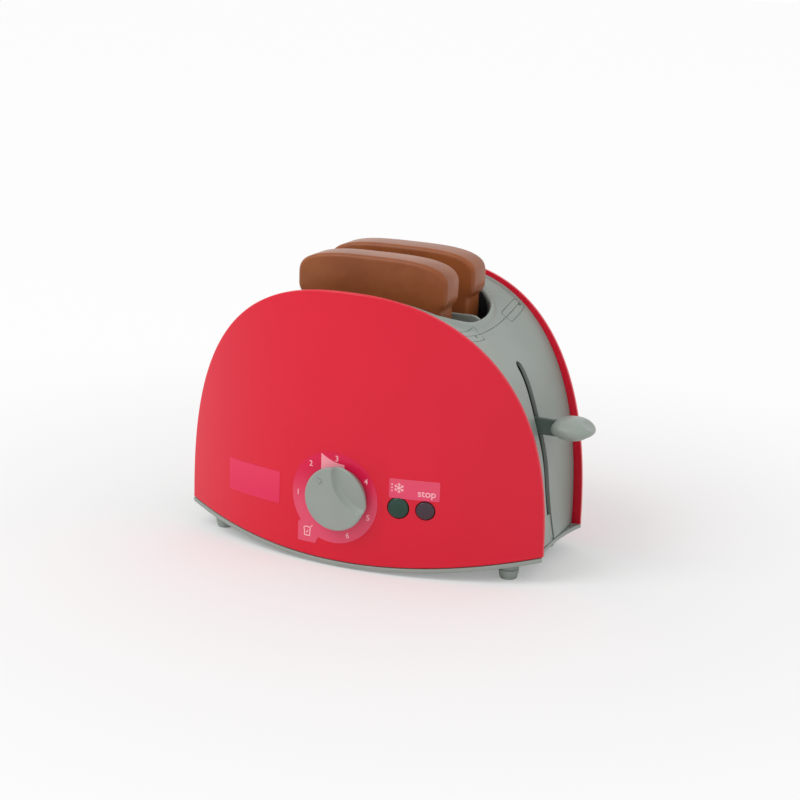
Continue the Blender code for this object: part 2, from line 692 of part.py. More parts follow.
def make_cover():
    """Saddle cover with the oval well, its flat collar and the divider."""
    high = ARCH_FOOT + ARCH_HEIGHT + OVERRUN
    body = common(saddle_block(), prism(cover_plan(-FIT), WELL_BOTTOM + RUN, high))
    outer = oval(COLLAR_HALF_LENGTH, COLLAR_HALF_WIDTH)
    fuse(body, prism(outer, WELL_BOTTOM, COLLAR_TOP))
    hollow = saddle_block(SHELL, side_outer, OVERRUN)
    cut(hollow, prism(outer, 0.0, high))
    cut(body, hollow)
    cut(body, prism(oval(OPENING_HALF_LENGTH, OPENING_HALF_WIDTH), 0.0, high))
    return fuse(body, divider())


def divider():
    """Thin rib across the opening; its top rises to the collar in a curve at each end."""
    reach = OPENING_HALF_LENGTH + COLLAR_WALL / 2
    rise_start = OPENING_HALF_LENGTH - 2 * COLLAR_RISE
    low = COLLAR_TOP - DIVIDER_DROP
    right = [(reach, WELL_BOTTOM + RUN)]
    for k in range(DIVIDER_STEPS + 1):
        share = 1 - k / DIVIDER_STEPS
        right.append((rise_start + (reach - rise_start) * share, low + (DIVIDER_DROP - RUN) * share ** 2))
    left = [(-x, z) for x, z in reversed(right)]
    return prism(right + left, -DIVIDER / 2, DIVIDER / 2, "Y")


def make_panel(side):
    """Red panel: arched outline on a bowed face, chamfered outer edge, pegs inside."""
    made = bmesh.new()
    loops = []
    for inward, depth in ((PANEL_EDGE, 0.0), (0.0, PANEL_EDGE), (0.0, PANEL)):
        arch = [arch_point(math.pi * i / ARCH_STEPS, inward) for i in range(ARCH_STEPS + 1)]
        under = [(x, bottom_line(x) + inward) for x, z in arch[1:-1]]
        arch[0] = (arch[0][0], ARCH_FOOT + inward)
        arch[-1] = (arch[-1][0], ARCH_FOOT + inward)
        loops.append([
            [made.verts.new((x, side * (bow(x) - depth), z)) for x, z in arch],
            [made.verts.new((x, side * (bow(x) - depth), z)) for x, z in under],
        ])
    for arch, under in (loops[0], loops[-1]):
        made.faces.new((arch[0], arch[1], under[0]))
        made.faces.new((arch[-1], under[-1], arch[-2]))
        for k in range(len(under) - 1):
            made.faces.new((arch[k + 1], arch[k + 2], under[k + 1], under[k]))
    for outer, inner in zip(loops, loops[1:]):
        ring_out = outer[0] + outer[1][::-1]
        ring_in = inner[0] + inner[1][::-1]
        for k in range(len(ring_out)):
            following = (k + 1) % len(ring_out)
            made.faces.new((ring_out[k], ring_out[following], ring_in[following], ring_in[k]))
    body = as_object(made)
    for x, z in peg_places():
        root = side * (bow(x) - PANEL / 2)
        tip = side * (side_inner(x) + FIT)
        fuse(body, cylinder((x, z), PEG_RADIUS, min(root, tip), max(root, tip), "Y", 16))
    if side < 0:
        for centre, radius in front_holes():
            cut(body, cylinder(centre, radius, -bow(0.0) - OVERRUN, 0.0, "Y", 32))
    return body


def make_base():
    """Curved base plate with rim, foot seats, screw pillars, rod sockets, slot tongue and brackets."""
    body = plate_slab(plate_top, lambda x: plate_top(x) - RIM)
    for x, y in corners(FOOT_X, FOOT_Y):
        seat = cylinder((x, y), FOOT_RADIUS, FOOT_HEIGHT + FIT, ARCH_FOOT)
        common(seat, plate_slab(plate_middle, lambda x: -OVERRUN))
        fuse(body, seat)
        cut(body, cylinder((x, y), FOOT_PEG_RADIUS + FIT, 0.0, ARCH_FOOT, steps=16))
    for spot in corners(SCREW_X, SCREW_Y):
        fuse(body, cylinder(spot, PILLAR_RADIUS, plate_middle(SCREW_X), PILLAR_TOP))
        cut(body, cylinder(spot, SCREW_HEAD_RADIUS + FIT, -OVERRUN, SCREW_SEAT, steps=16))
        cut(body, cylinder(spot, SCREW_RADIUS + FIT, -OVERRUN, PILLAR_TOP + OVERRUN, steps=16))
    for sign in (-1, 1):
        spot = (sign * ROD_X, 0.0)
        fuse(body, cylinder(spot, ROD_BOSS_RADIUS, plate_middle(ROD_X), ROD_SEAT_TOP))
        cut(body, cylinder(spot, ROD_RADIUS + FIT, plate_top(ROD_X), ROD_SEAT_TOP + OVERRUN, steps=16))
    fuse(body, slot_tongue())
    bracket_top = KNOB_Z + BRACKET_ABOVE
    across = (-BRACKET_HALF_WIDTH, BRACKET_HALF_WIDTH)
    fuse(body, box(across, (BRACKET_FRONT, BRACKET_BACK), (plate_middle(0.0), bracket_top)))
    cut(body, cylinder((0.0, KNOB_Z), SPINDLE_RADIUS + RUN, WHEEL_BACK, BRACKET_BACK + RUN, "Y"))
    for x, y, z in ((DEFROST_X, DEFROST_SEAT_Y, DEFROST_Z), (STOP_X + LATCH_SIDE / 2, STOP_SEAT_Y, STOP_Z)):
        half = SEAT_HALF_WIDTH if y < STOP_SEAT_Y else SEAT_HALF_WIDTH - LATCH_SIDE / 2
        seat = box((x - half, x + half), (y, y + SEAT_THICKNESS), (plate_middle(x), z + SEAT_ABOVE))
        fuse(body, seat)
    return fuse(body, click_post())


def slot_tongue():
    """Upright tongue that closes the open foot of the lever slot, slightly recessed."""
    steps = 5
    start = plate_middle(trough_reach(ARCH_FOOT))
    heights = [start + (TONGUE_TOP - start) * k / steps for k in range(steps + 1)]
    outer = [(trough_reach(max(z, ARCH_FOOT), TONGUE_RECESS), z) for z in heights]
    inner = [(x - TONGUE_WALL, z) for x, z in reversed(outer)]
    half = STEM_WIDTH / 2 + SLOT_GAP - FIT
    return prism(outer + inner, -half, half, "Y")


def click_post():
    """Post that carries the click spring, with a slit for its tab."""
    top = click_level() - FIT
    span = (-CLICK_POST_X - CLICK_POST_WIDTH / 2, -CLICK_POST_X + CLICK_POST_WIDTH / 2)
    post = box(span, (WHEEL_FRONT - FIT, WHEEL_BACK + FIT), (plate_middle(CLICK_POST_X), top))
    half = CLICK_STRIP / 2 + FIT
    slit = (-CLICK_POST_X - half, -CLICK_POST_X + half)
    deep = top - CLICK_TAB - FIT
    return cut(post, box(slit, (WHEEL_FRONT - OVERRUN, WHEEL_BACK + OVERRUN), (deep, top + OVERRUN)))


def click_level():
    """Underside of the click spring."""
    return KNOB_Z - WHEEL_RADIUS - CLICK_DROP - CLICK_STRIP


def make_click_spring():
    """Leaf with a bump under the click wheel and a tab in its post."""
    low = click_level()
    high = low + CLICK_STRIP
    bump = KNOB_Z - WHEEL_RADIUS - FIT
    half = CLICK_STRIP / 2
    outline = [
        (-CLICK_POST_X - half, low - CLICK_TAB), (-CLICK_POST_X + half, low - CLICK_TAB),
        (-CLICK_POST_X + half, low), (-CLICK_BUMP_HALF, low), (0.0, bump - CLICK_STRIP),
        (CLICK_BUMP_HALF, low), (CLICK_REACH, low), (CLICK_REACH, high), (CLICK_BUMP_HALF, high),
        (0.0, bump), (-CLICK_BUMP_HALF, high), (-CLICK_POST_X - half, high),
    ]
    return prism(outline, WHEEL_FRONT, WHEEL_BACK, "Y")


def corners(x, y):
    return [(sx * x, sy * y) for sx in (-1, 1) for sy in (-1, 1)]


def make_foot(x, y):
    """Round tapered foot with a peg in its seat."""
    profile = [
        (FOOT_TIP_RADIUS, 0.0), (FOOT_RADIUS, FOOT_HEIGHT / 2), (FOOT_RADIUS, FOOT_HEIGHT),
        (FOOT_PEG_RADIUS, FOOT_HEIGHT), (FOOT_PEG_RADIUS, FOOT_HEIGHT + FOOT_PEG_LENGTH),
    ]
    return turned(profile, (x, y), steps=24)


def make_screw(x, y):
    """Pan-head screw up through the base into a housing boss."""
    under = SCREW_SEAT - FIT
    profile = [
        (SCREW_HEAD_RADIUS, under - SCREW_HEAD), (SCREW_HEAD_RADIUS, under), (SCREW_RADIUS, under),
        (SCREW_RADIUS, SCREW_SEAT + SCREW_LENGTH - SCREW_RADIUS), (SCREW_RADIUS / 4, SCREW_SEAT + SCREW_LENGTH),
    ]
    return turned(profile, (x, y), steps=16)


def make_guide():
    """Dark oval chute from the base to the cover's well, slotted at both ends for the carriage."""
    steps = oval(GUIDE_HALF_LENGTH, GUIDE_HALF_WIDTH)
    top = WELL_BOTTOM - FIT
    body = prism(steps, 0.0, top)
    cut(body, prism(oval(OPENING_HALF_LENGTH, OPENING_HALF_WIDTH), -OVERRUN, top + OVERRUN))
    cut(body, plate_slab(bottom_line, lambda x: -OVERRUN))
    half = SPINE_WIDTH / 2 + ARM_GAP
    wide = HALF_LENGTH
    return cut(body, box((-wide, wide), (-half, half), (-OVERRUN, SPINE_TOP + UP_TRAVEL + ARM_GAP)))


def make_carriage():
    """Slides on both rods: hubs, spine, cross arms, cradles, stem and latch rail."""
    half = SPINE_WIDTH / 2
    body = box((-ROD_X, ROD_X), (-half, half), (SPINE_BOTTOM, SPINE_TOP))
    for sign in (-1, 1):
        fuse(body, cylinder((sign * ROD_X, 0.0), HUB_RADIUS, HUB_BOTTOM, HUB_TOP))
        arm = sign * CROSS_ARM_X
        arm_end = TOAST_Y + TOAST_THICKNESS / 2
        low = CRADLE_TOP - CRADLE_FLOOR / 2
        span = (arm - CROSS_ARM_WIDTH / 2, arm + CROSS_ARM_WIDTH / 2)
        fuse(body, box(span, (-arm_end, arm_end), (low - CROSS_ARM_DEPTH, low)))
    for sign in (-1, 1):
        fuse(body, cradle(sign * TOAST_Y))
    stem = STEM_WIDTH / 2
    fuse(body, box((ROD_X, STEM_REACH), (-stem, stem), (STEM_BOTTOM, STEM_BOTTOM + STEM_HEIGHT)))
    arm = (RAIL_X + ARM_INSET, RAIL_X + RAIL_WIDTH - ARM_INSET)
    back = RAIL_FRONT + RAIL_THICKNESS
    fuse(body, box(arm, (back - RAIL_THICKNESS / 2, 0.0), (STEM_BOTTOM - RAIL_ARM, STEM_BOTTOM)))
    rail = (RAIL_X, RAIL_X + RAIL_WIDTH)
    fuse(body, box(rail, (RAIL_FRONT, back), (RAIL_BOTTOM, RAIL_TOP)))
    for sign in (-1, 1):
        spot = (sign * ROD_X, 0.0)
        cut(body, cylinder(spot, ROD_RADIUS + FIT, HUB_BOTTOM - OVERRUN * 2, HUB_TOP + OVERRUN, steps=16))
    return body


def cradle(y):
    """Tray under one slice, open at its ends."""
    inner = TOAST_THICKNESS / 2 + FIT
    outer = inner + CRADLE_LIP
    floor = CRADLE_TOP - CRADLE_FLOOR
    lip = CRADLE_TOP + CRADLE_LIP_HEIGHT
    outline = [
        (y - outer, floor), (y + outer, floor), (y + outer, lip), (y + inner, lip),
        (y + inner, CRADLE_TOP), (y - inner, CRADLE_TOP), (y - inner, lip), (y - outer, lip),
    ]
    return prism(outline, -CRADLE_HALF_LENGTH, CRADLE_HALF_LENGTH, "X")


def make_handle():
    """Pebble grip, a rounded solid with a socket for the stem."""
    centre = Vector(((HANDLE_START + HANDLE_END) / 2, 0.0, HANDLE_TOP - HANDLE_HEIGHT / 2))
    rings = []
    for k in range(1, HANDLE_RINGS + 1):
        latitude = math.pi * (k / (HANDLE_RINGS + 1) - 1 / 2)
        level = math.copysign(abs(math.sin(latitude)) ** (2 / HANDLE_SIDE_POWER), latitude)
        size = math.cos(latitude) ** (2 / HANDLE_SIDE_POWER)
        ring = []
        for j in range(HANDLE_POINTS):
            angle = 2 * math.pi * j / HANDLE_POINTS
            along = math.copysign(abs(math.cos(angle)) ** (2 / HANDLE_PLAN_POWER), math.cos(angle))
            across = math.copysign(abs(math.sin(angle)) ** (2 / HANDLE_PLAN_POWER), math.sin(angle))
            ring.append(centre + Vector((
                size * along * (HANDLE_END - HANDLE_START) / 2,
                size * across * HANDLE_WIDTH / 2,
                level * HANDLE_HEIGHT / 2,
            )))
        rings.append(ring)
    body = rings_solid(rings)
    half = STEM_WIDTH / 2 + FIT
    height = (STEM_BOTTOM - FIT, STEM_BOTTOM + STEM_HEIGHT + FIT)
    return cut(body, box((HANDLE_START - OVERRUN, STEM_REACH + FIT), (-half, half), height))


def toast_outline():
    """Slice from one bottom corner, over its domed crown, to the other."""
    centre_x = CROWN_HALF - CROWN_RADIUS
    centre_z = TOAST_TOP - CROWN_DROP
    tuck = math.acos((NECK_HALF - centre_x) / CROWN_RADIUS)
    right = [
        (NECK_HALF - TOAST_CORNER, TOAST_BOTTOM), (NECK_HALF - TOAST_CORNER / 4, TOAST_BOTTOM + TOAST_CORNER / 4),
        (NECK_HALF, TOAST_BOTTOM + TOAST_CORNER),
    ]
    for k in range(TUCK_STEPS + 1):
        angle = tuck * (k / TUCK_STEPS - 1)
        right.append((centre_x + CROWN_RADIUS * math.cos(angle), centre_z + CROWN_RADIUS * math.sin(angle)))
    for k in range(1, CROWN_STEPS):
        angle = math.pi / 2 * k / CROWN_STEPS
        x = CROWN_HALF * math.cos(angle) ** (2 / CROWN_POWER)
        right.append((x, centre_z + CROWN_DROP * math.sin(angle) ** (2 / CROWN_POWER)))
    left = [(-x, z) for x, z in reversed(right)]
    return [*right, (0.0, TOAST_TOP), *left]


def shrunk(outline, inset):
    """Closed outline moved inwards by the same distance all round."""
    moved = []
    for before, point, after in zip(outline[-1:] + outline[:-1], outline, outline[1:] + outline[:1]):
        coming = (Vector(point) - Vector(before)).normalized()
        going = (Vector(after) - Vector(point)).normalized()
        along = (coming + going).normalized()
        moved.append((point[0] - inset * along.y, point[1] + inset * along.x))
    return moved


def make_toast(y):
    """Slice with a domed crown over a narrower neck, and rounded edges on both faces."""
    outline = toast_outline()
    front = [
        (TOAST_ROUND * depth - TOAST_THICKNESS / 2, TOAST_ROUND * inset) for depth, inset in TOAST_ROUND_SHARES
    ]
    places = front + [(-across, inset) for across, inset in reversed(front)]
    return rings_solid([
        [(x, y + across, z) for x, z in shrunk(outline, inset)] for across, inset in places
    ])


def make_knob():
    """Dial with a rounded edge, a crescent finger scoop and a socket for the spindle."""
    back = -bow(0.0) - RUN
    profile = [
        (KNOB_RADIUS - KNOB_ROUND / 2, back), (KNOB_RADIUS, back - KNOB_ROUND / 2),
        (KNOB_RADIUS, KNOB_FACE + KNOB_ROUND), (KNOB_RADIUS - KNOB_ROUND / 3, KNOB_FACE + KNOB_ROUND / 3),
        (KNOB_RADIUS - KNOB_ROUND, KNOB_FACE),
    ]
    body = turned(profile, (0.0, KNOB_Z), "Y", 48)
    cut(body, knob_scoop())
    socket_end = KNOB_FACE + SCOOP_DEPTH + KNOB_FRONT_WALL
    return cut(body, cylinder((0.0, KNOB_Z), SPINDLE_RADIUS + FIT, socket_end, 0.0, "Y"))


def knob_scoop():
    """Cut with a slanting floor, deepest at its curved wall near the knob's middle."""
    offset = Vector((SCOOP_X_SHARE, SCOOP_Z_SHARE)) * KNOB_RADIUS
    radius = SCOOP_SHARE * KNOB_RADIUS
    inner_edge = offset.length - radius
    outline = circle(offset, radius, 48)
    floor = []
    for x, z in outline:
        travel = Vector((x, z)).dot(offset.normalized()) - inner_edge
        depth = SCOOP_DEPTH * (1 - travel / (KNOB_RADIUS - inner_edge))
        floor.append((x, KNOB_FACE + depth, KNOB_Z + z))
    above = [(x, KNOB_FACE - OVERRUN * 2, KNOB_Z + z) for x, z in outline]
    return rings_solid([above, floor])


def make_spindle():
    """Spindle from the knob's socket to the bracket, with the toothed click wheel."""
    start = KNOB_FACE + SCOOP_DEPTH + KNOB_FRONT_WALL + FIT
    body = cylinder((0.0, KNOB_Z), SPINDLE_RADIUS, start, SPINDLE_END, "Y")
    wheel = []
    for k in range(2 * WHEEL_TEETH):
        angle = math.pi * (k + 1) / WHEEL_TEETH - math.pi / 2
        radius = WHEEL_RADIUS - WHEEL_NOTCH * (k % 2)
        wheel.append((radius * math.cos(angle), KNOB_Z + radius * math.sin(angle)))
    return fuse(body, prism(wheel, WHEEL_FRONT, WHEEL_BACK, "Y"))


def make_spindle_clip():
    """Open ring behind the bracket."""
    start = BRACKET_BACK + FIT
    body = cylinder((0.0, KNOB_Z), WASHER_RADIUS, start, start + WASHER_THICKNESS, "Y")
    cut(body, cylinder((0.0, KNOB_Z), SPINDLE_RADIUS + FIT, start - OVERRUN, 0.0, "Y"))
    gap = SPINDLE_RADIUS * 2 / 3
    low = KNOB_Z - WASHER_RADIUS - OVERRUN
    return cut(body, box((-gap, gap), (start - OVERRUN, 0.0), (low, KNOB_Z)))


def make_button(x, z, radius, flange_y, stem_end):
    """Button whose face follows the panel, with a flange behind the wall and a stem."""
    rings = []
    steps = 32
    for share, crown in BUTTON_FACE_SHARES:
        ring = []
        for px, pz in circle((x, z), radius * share, steps):
            ring.append((px, -bow(px) - BUTTON_PROUD - BUTTON_CROWN * crown, pz))
        rings.append(ring)
    back = [(px, flange_y + BUTTON_FLANGE_THICKNESS / 2, pz) for px, pz in circle((x, z), radius, steps)]
    body = rings_solid([back, *rings])
    flange = radius + BUTTON_FLANGE - FIT
    fuse(body, cylinder((x, z), flange, flange_y, flange_y + BUTTON_FLANGE_THICKNESS, "Y"))
    start = flange_y + BUTTON_FLANGE_THICKNESS / 4
    return fuse(body, cylinder((x, z), BUTTON_STEM_RADIUS, start, stem_end, "Y", 16))


def make_latch():
    """Latch hook: tail behind the stop button, barrel on the pin, nose beside the carriage's rail."""
    pivot = (LATCH_PIVOT_Y, LATCH_PIVOT_Z)
    outline = [
        (LATCH_PLATE_FRONT, STOP_Z - LATCH_TAIL), (LATCH_PLATE_BACK, STOP_Z - LATCH_TAIL),
        (LATCH_PLATE_BACK, NOSE_BOTTOM), (RAIL_FRONT - FIT, NOSE_BOTTOM),
        (LATCH_PLATE_BACK + LATCH_PLATE / 2, NOSE_TOP), (LATCH_PLATE_FRONT, NOSE_TOP),
    ]
    body = prism(outline, LATCH_START, LATCH_END, "X")
    edge = ARM_INSET / 4
    fuse(body, cylinder(pivot, LATCH_BARREL_RADIUS, LATCH_START + edge, LATCH_END - edge, "X", 20))
    hole = cylinder(pivot, LATCH_PIN_RADIUS + FIT, LATCH_START - OVERRUN, LATCH_END + OVERRUN, "X", 16)
    return cut(body, hole)


def make_toaster():
    """All pieces in place on one empty."""
    for old in list(bpy.data.objects):
        bpy.data.objects.remove(old)
    root = bpy.data.objects.new("toaster", None)
    bpy.context.collection.objects.link(root)
    root.location = (MIDDLE_X, MIDDLE_Y, 0.0)

    grey = material("grey_plastic", (0.33, 0.37, 0.34), 0.42)
    red = material("red_plastic", (0.72, 0.02, 0.045), 0.3)
    dark = material("dark_plastic", (0.03, 0.036, 0.036), 0.5)
    green = material("green_plastic", (0.005, 0.06, 0.035), 0.2)
    plum = material("plum_plastic", (0.05, 0.035, 0.05), 0.25)
    brown = material("toast_brown", (0.26, 0.09, 0.04), 0.6)
    rubber = material("rubber", (0.05, 0.06, 0.055), 0.8)
    steel = material("steel", (0.6, 0.6, 0.6), 0.3, 1.0)

    finish(make_base(), "base_plate", grey, root)
    ends = (("left", -1), ("right", 1))
    sides = (("front", -1), ("rear", 1))
    for side_name, side in sides:
        for end_name, end in ends:
            x, y = end * FOOT_X, side * FOOT_Y
            finish(make_foot(x, y), f"foot_{side_name}_{end_name}", rubber, root)
            x, y = end * SCREW_X, side * SCREW_Y
            finish(make_screw(x, y), f"base_screw_{side_name}_{end_name}", steel, root)
        finish(make_panel(side), f"{side_name}_panel", red, root)
    finish(make_housing(), "housing", grey, root)
    finish(make_cover(), "top_cover", grey, root)
    finish(make_guide(), "bread_guide", dark, root)

    stem_joint = (ROD_X, 0.0, STEM_BOTTOM)
    finish(make_carriage(), "carriage", dark, root, stem_joint)
    finish(make_handle(), "lever_handle", grey, root, stem_joint)
    for end_name, end in ends:
        spot = (end * ROD_X, 0.0)
        rod = cylinder(spot, ROD_RADIUS, plate_top(ROD_X) + FIT, ROD_TOP, steps=16)
        finish(rod, f"guide_rod_{end_name}", steel, root)
        start = (*spot, ROD_SEAT_TOP + FIT)
        length = HUB_BOTTOM - ROD_SEAT_TOP - 2 * FIT
        spring = coil(start, (0.0, 0.0, 1.0), length, SPRING_RADIUS, SPRING_TURNS, SPRING_WIRE)
        finish(spring, f"lift_spring_{end_name}", steel, root)
    for side_name, side in sides:
        joint = (0.0, side * TOAST_Y, TOAST_BOTTOM)
        finish(make_toast(side * TOAST_Y), f"toast_{side_name}", brown, root, joint)

    knob_joint = (0.0, KNOB_FACE, KNOB_Z)
    finish(make_knob(), "timer_knob", grey, root, knob_joint)
    finish(make_spindle(), "knob_spindle", dark, root, knob_joint)
    finish(make_spindle_clip(), "spindle_clip", steel, root, knob_joint)
    finish(make_click_spring(), "click_spring", steel, root)

    stem_end = DEFROST_SEAT_Y - BUTTON_TRAVEL - RUN
    defrost = make_button(DEFROST_X, DEFROST_Z, DEFROST_RADIUS, DEFROST_FLANGE_Y, stem_end)
    finish(defrost, "defrost_button", green, root, (DEFROST_X, DEFROST_FLANGE_Y, DEFROST_Z))
    stop = make_button(STOP_X, STOP_Z, STOP_RADIUS, STOP_FLANGE_Y, LATCH_PLATE_FRONT - FIT)
    finish(stop, "stop_button", plum, root, (STOP_X, STOP_FLANGE_Y, STOP_Z))
    starts = (
        ("defrost_spring", DEFROST_X, DEFROST_FLANGE_Y + BUTTON_FLANGE_THICKNESS, DEFROST_Z, DEFROST_SEAT_Y),
        ("stop_spring", STOP_X + LATCH_SIDE / 2, LATCH_PLATE_BACK, STOP_Z, STOP_SEAT_Y),
    )
    for name, x, y, z, seat in starts:
        spring = coil(
            (x, y + FIT, z), (0.0, 1.0, 0.0), seat - y - 2 * FIT,
            BUTTON_SPRING_RADIUS, BUTTON_SPRING_TURNS, SPRING_WIRE,
        )
        finish(spring, name, steel, root)
    latch_joint = (LATCH_START, LATCH_PIVOT_Y, LATCH_PIVOT_Z)
    finish(make_latch(), "latch_hook", dark, root, latch_joint)
    first, last = latch_lugs()
    pin = cylinder(latch_joint[1:], LATCH_PIN_RADIUS, first[0], last[1], "X", 16)
    finish(pin, "latch_pin", steel, root)


make_toaster()
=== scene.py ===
"""Looks of the toy toaster: red bowed panels, grey saddle-shaped body, two slices of toast."""
import math

import bmesh
import bpy
from mathutils import Matrix, Vector


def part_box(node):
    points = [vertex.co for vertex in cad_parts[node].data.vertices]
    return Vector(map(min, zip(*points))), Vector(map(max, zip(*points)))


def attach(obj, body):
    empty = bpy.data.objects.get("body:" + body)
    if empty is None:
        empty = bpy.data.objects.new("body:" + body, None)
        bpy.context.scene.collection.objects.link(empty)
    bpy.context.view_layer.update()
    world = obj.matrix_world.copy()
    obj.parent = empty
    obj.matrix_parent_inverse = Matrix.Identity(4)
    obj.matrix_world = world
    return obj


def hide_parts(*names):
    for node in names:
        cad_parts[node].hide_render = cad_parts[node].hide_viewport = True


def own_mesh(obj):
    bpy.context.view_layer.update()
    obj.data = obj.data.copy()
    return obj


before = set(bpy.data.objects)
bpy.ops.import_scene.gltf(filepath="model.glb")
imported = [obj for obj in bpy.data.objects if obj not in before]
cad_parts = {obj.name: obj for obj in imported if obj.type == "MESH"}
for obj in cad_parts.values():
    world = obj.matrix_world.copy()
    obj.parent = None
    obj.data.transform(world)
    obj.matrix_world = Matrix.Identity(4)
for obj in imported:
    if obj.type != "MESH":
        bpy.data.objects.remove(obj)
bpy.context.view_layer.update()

# Base plate: a thin curved tray of satin grey ABS, injection moulded, with bosses for the screws, feet and
# rods. The body and both red panels stand on it, and its edge shows as a narrow rim all round.
MM = 0.001
front_low, front_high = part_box("front_panel")
rear_low, rear_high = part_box("rear_panel")
body_middle = Vector(((front_low.x + front_high.x) / 2, (front_low.y + rear_high.y) / 2, 0.0))
half_length = (front_high.x - front_low.x) / 2
widest = (rear_high.y - front_low.y) / 2
tip_width = 29.2 * MM
tip_height = 13.78 * MM
belly_drop = 10.6 * MM
rim_height = 2.2 * MM
rim_hollow = 4.8 * MM
rim_round = 0.45 * MM
seat_gap = 0.3 * MM
screw_hole, peg_hole = 3.15 * MM, 2.15 * MM
skin_match, skin_sink, edge_match = 0.15 * MM, 0.4 * MM, 0.6 * MM
screw_spots = [(sx * 62.0 * MM, sy * 34.26 * MM) for sx in (-1, 1) for sy in (-1, 1)]
foot_spots = [(sx * 77.5 * MM, sy * 26.5 * MM) for sx in (-1, 1) for sy in (-1, 1)]


def bow(x):
    """Half the width over the red panels, x from the body's middle."""
    return widest - (widest - tip_width) * (x / half_length) ** 2


def belly(x):
    """Height of the panels' lower edge."""
    return tip_height - belly_drop * (1 - (x / half_length) ** 2)


def linear(code):
    """An sRGB hex colour as linear RGBA."""
    parts = [int(code[k:k + 2], 16) / 255 for k in (1, 3, 5)]
    return (*[p / 12.92 if p <= 0.04045 else ((p + 0.055) / 1.055) ** 2.4 for p in parts], 1.0)


def add_node(tree, kind, inputs=None, **options):
    """Add a node, set its options, and give each input its value or link."""
    made = tree.nodes.new(kind)
    for option, value in options.items():
        setattr(made, option, value)
    for name, value in (inputs or {}).items():
        if isinstance(value, bpy.types.NodeSocket):
            tree.links.new(value, made.inputs[name])
        else:
            made.inputs[name].default_value = value
    return made


def moulded_plastic(name, colour, shade, roughness, specular, grain, depth, cloud=30 * MM):
    """Moulded plastic: a fine tool grain as bump, and slow drifts between two close tones."""
    made = bpy.data.materials.new(name)
    made.use_nodes = True
    tree = made.node_tree
    shader = tree.nodes["Principled BSDF"]
    shader.inputs["Roughness"].default_value = roughness
    shader.inputs["Specular IOR Level"].default_value = specular
    shader.inputs["IOR"].default_value = 1.53
    place = add_node(tree, "ShaderNodeTexCoord").outputs["Object"]
    drift = add_node(tree, "ShaderNodeTexNoise", {"Vector": place, "Scale": 1 / cloud, "Detail": 3.0})
    span = add_node(tree, "ShaderNodeMapRange", {0: drift.outputs[0], 1: 0.35, 2: 0.65})
    mix = add_node(tree, "ShaderNodeMix", {0: span.outputs[0], 6: linear(colour), 7: linear(shade)}, data_type="RGBA")
    tree.links.new(mix.outputs[2], shader.inputs["Base Color"])
    fine = add_node(tree, "ShaderNodeTexNoise", {"Vector": place, "Scale": 1 / grain, "Detail": 2.0})
    bump = add_node(tree, "ShaderNodeBump", {"Height": fine.outputs[0], "Strength": 0.35, "Distance": depth})
    tree.links.new(bump.outputs[0], shader.inputs["Normal"])
    return made


def settle(shape, name, surface, body, *nodes, slot=None, sharp=40, at=body_middle):
    """Turn a bmesh into a finished piece in its place, riding on its body."""
    bmesh.ops.translate(shape, verts=shape.verts, vec=at)
    mesh = bpy.data.meshes.new(name)
    shape.to_mesh(mesh)
    shape.free()
    mesh.shade_smooth()
    mesh.set_sharp_from_angle(angle=math.radians(sharp))
    mesh.materials.append(surface)
    piece = bpy.data.objects.new(name, mesh)
    bpy.context.scene.collection.objects.link(piece)
    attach(piece, body)
    if nodes:
        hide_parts(*nodes)
    return piece


def cutter(shape, name="cutter"):
    """A bmesh as a plain object for one exact Boolean."""
    bmesh.ops.recalc_face_normals(shape, faces=shape.faces)
    mesh = bpy.data.meshes.new(name)
    shape.to_mesh(mesh)
    shape.free()
    made = bpy.data.objects.new(name, mesh)
    bpy.context.scene.collection.objects.link(made)
    return made


def carved(shape, tools, operation="DIFFERENCE"):
    """The bmesh after exact Booleans with each tool, which are used up."""
    target = cutter(shape, "target")
    for tool in tools:
        step = target.modifiers.new("carve", "BOOLEAN")
        step.operation = operation
        step.solver = "EXACT"
        step.object = tool
    graph = bpy.context.evaluated_depsgraph_get()
    result = bmesh.new()
    result.from_object(target, graph)
    for spent in (target, *tools):
        bpy.data.objects.remove(spent)
    bmesh.ops.remove_doubles(result, verts=result.verts, dist=0.002 * MM)
    bmesh.ops.dissolve_degenerate(result, edges=result.edges, dist=0.002 * MM)
    return result


def verts_of(geometry):
    """The points among what an operation made."""
    return [v for v in geometry if isinstance(v, bmesh.types.BMVert)]


def thicken(shape, offset):
    """Extrude all the faces and move the copy away."""
    far = bmesh.ops.extrude_face_region(shape, geom=shape.faces[:])["geom"]
    bmesh.ops.translate(shape, verts=verts_of(far), vec=offset)


def drum(spot, radius, axis, low, high, steps=48):
    """Round cutter along one axis through a spot, between two places on that axis."""
    shape = bmesh.new()
    bmesh.ops.create_cone(shape, segments=steps, radius1=radius, radius2=radius, depth=high - low, cap_ends=True)
    quarter = math.pi / 2
    turn = {"X": Matrix.Rotation(quarter, 3, "Y"), "Y": Matrix.Rotation(quarter, 3, "X"), "Z": Matrix.Identity(3)}
    bmesh.ops.rotate(shape, verts=shape.verts, cent=(0, 0, 0), matrix=turn[axis])
    middle = Vector(spot)
    middle["XYZ".index(axis)] = (low + high) / 2
    bmesh.ops.translate(shape, verts=shape.verts, vec=middle)
    return cutter(shape)


# Satin ABS from a spark-eroded mould: the 0.45 mm grain is drawn slightly coarse, so that it softens highlights
grey_abs = moulded_plastic("grey_abs_satin", "#98a19a", "#929b94", 0.38, 0.45, 0.45 * MM, 0.03 * MM)

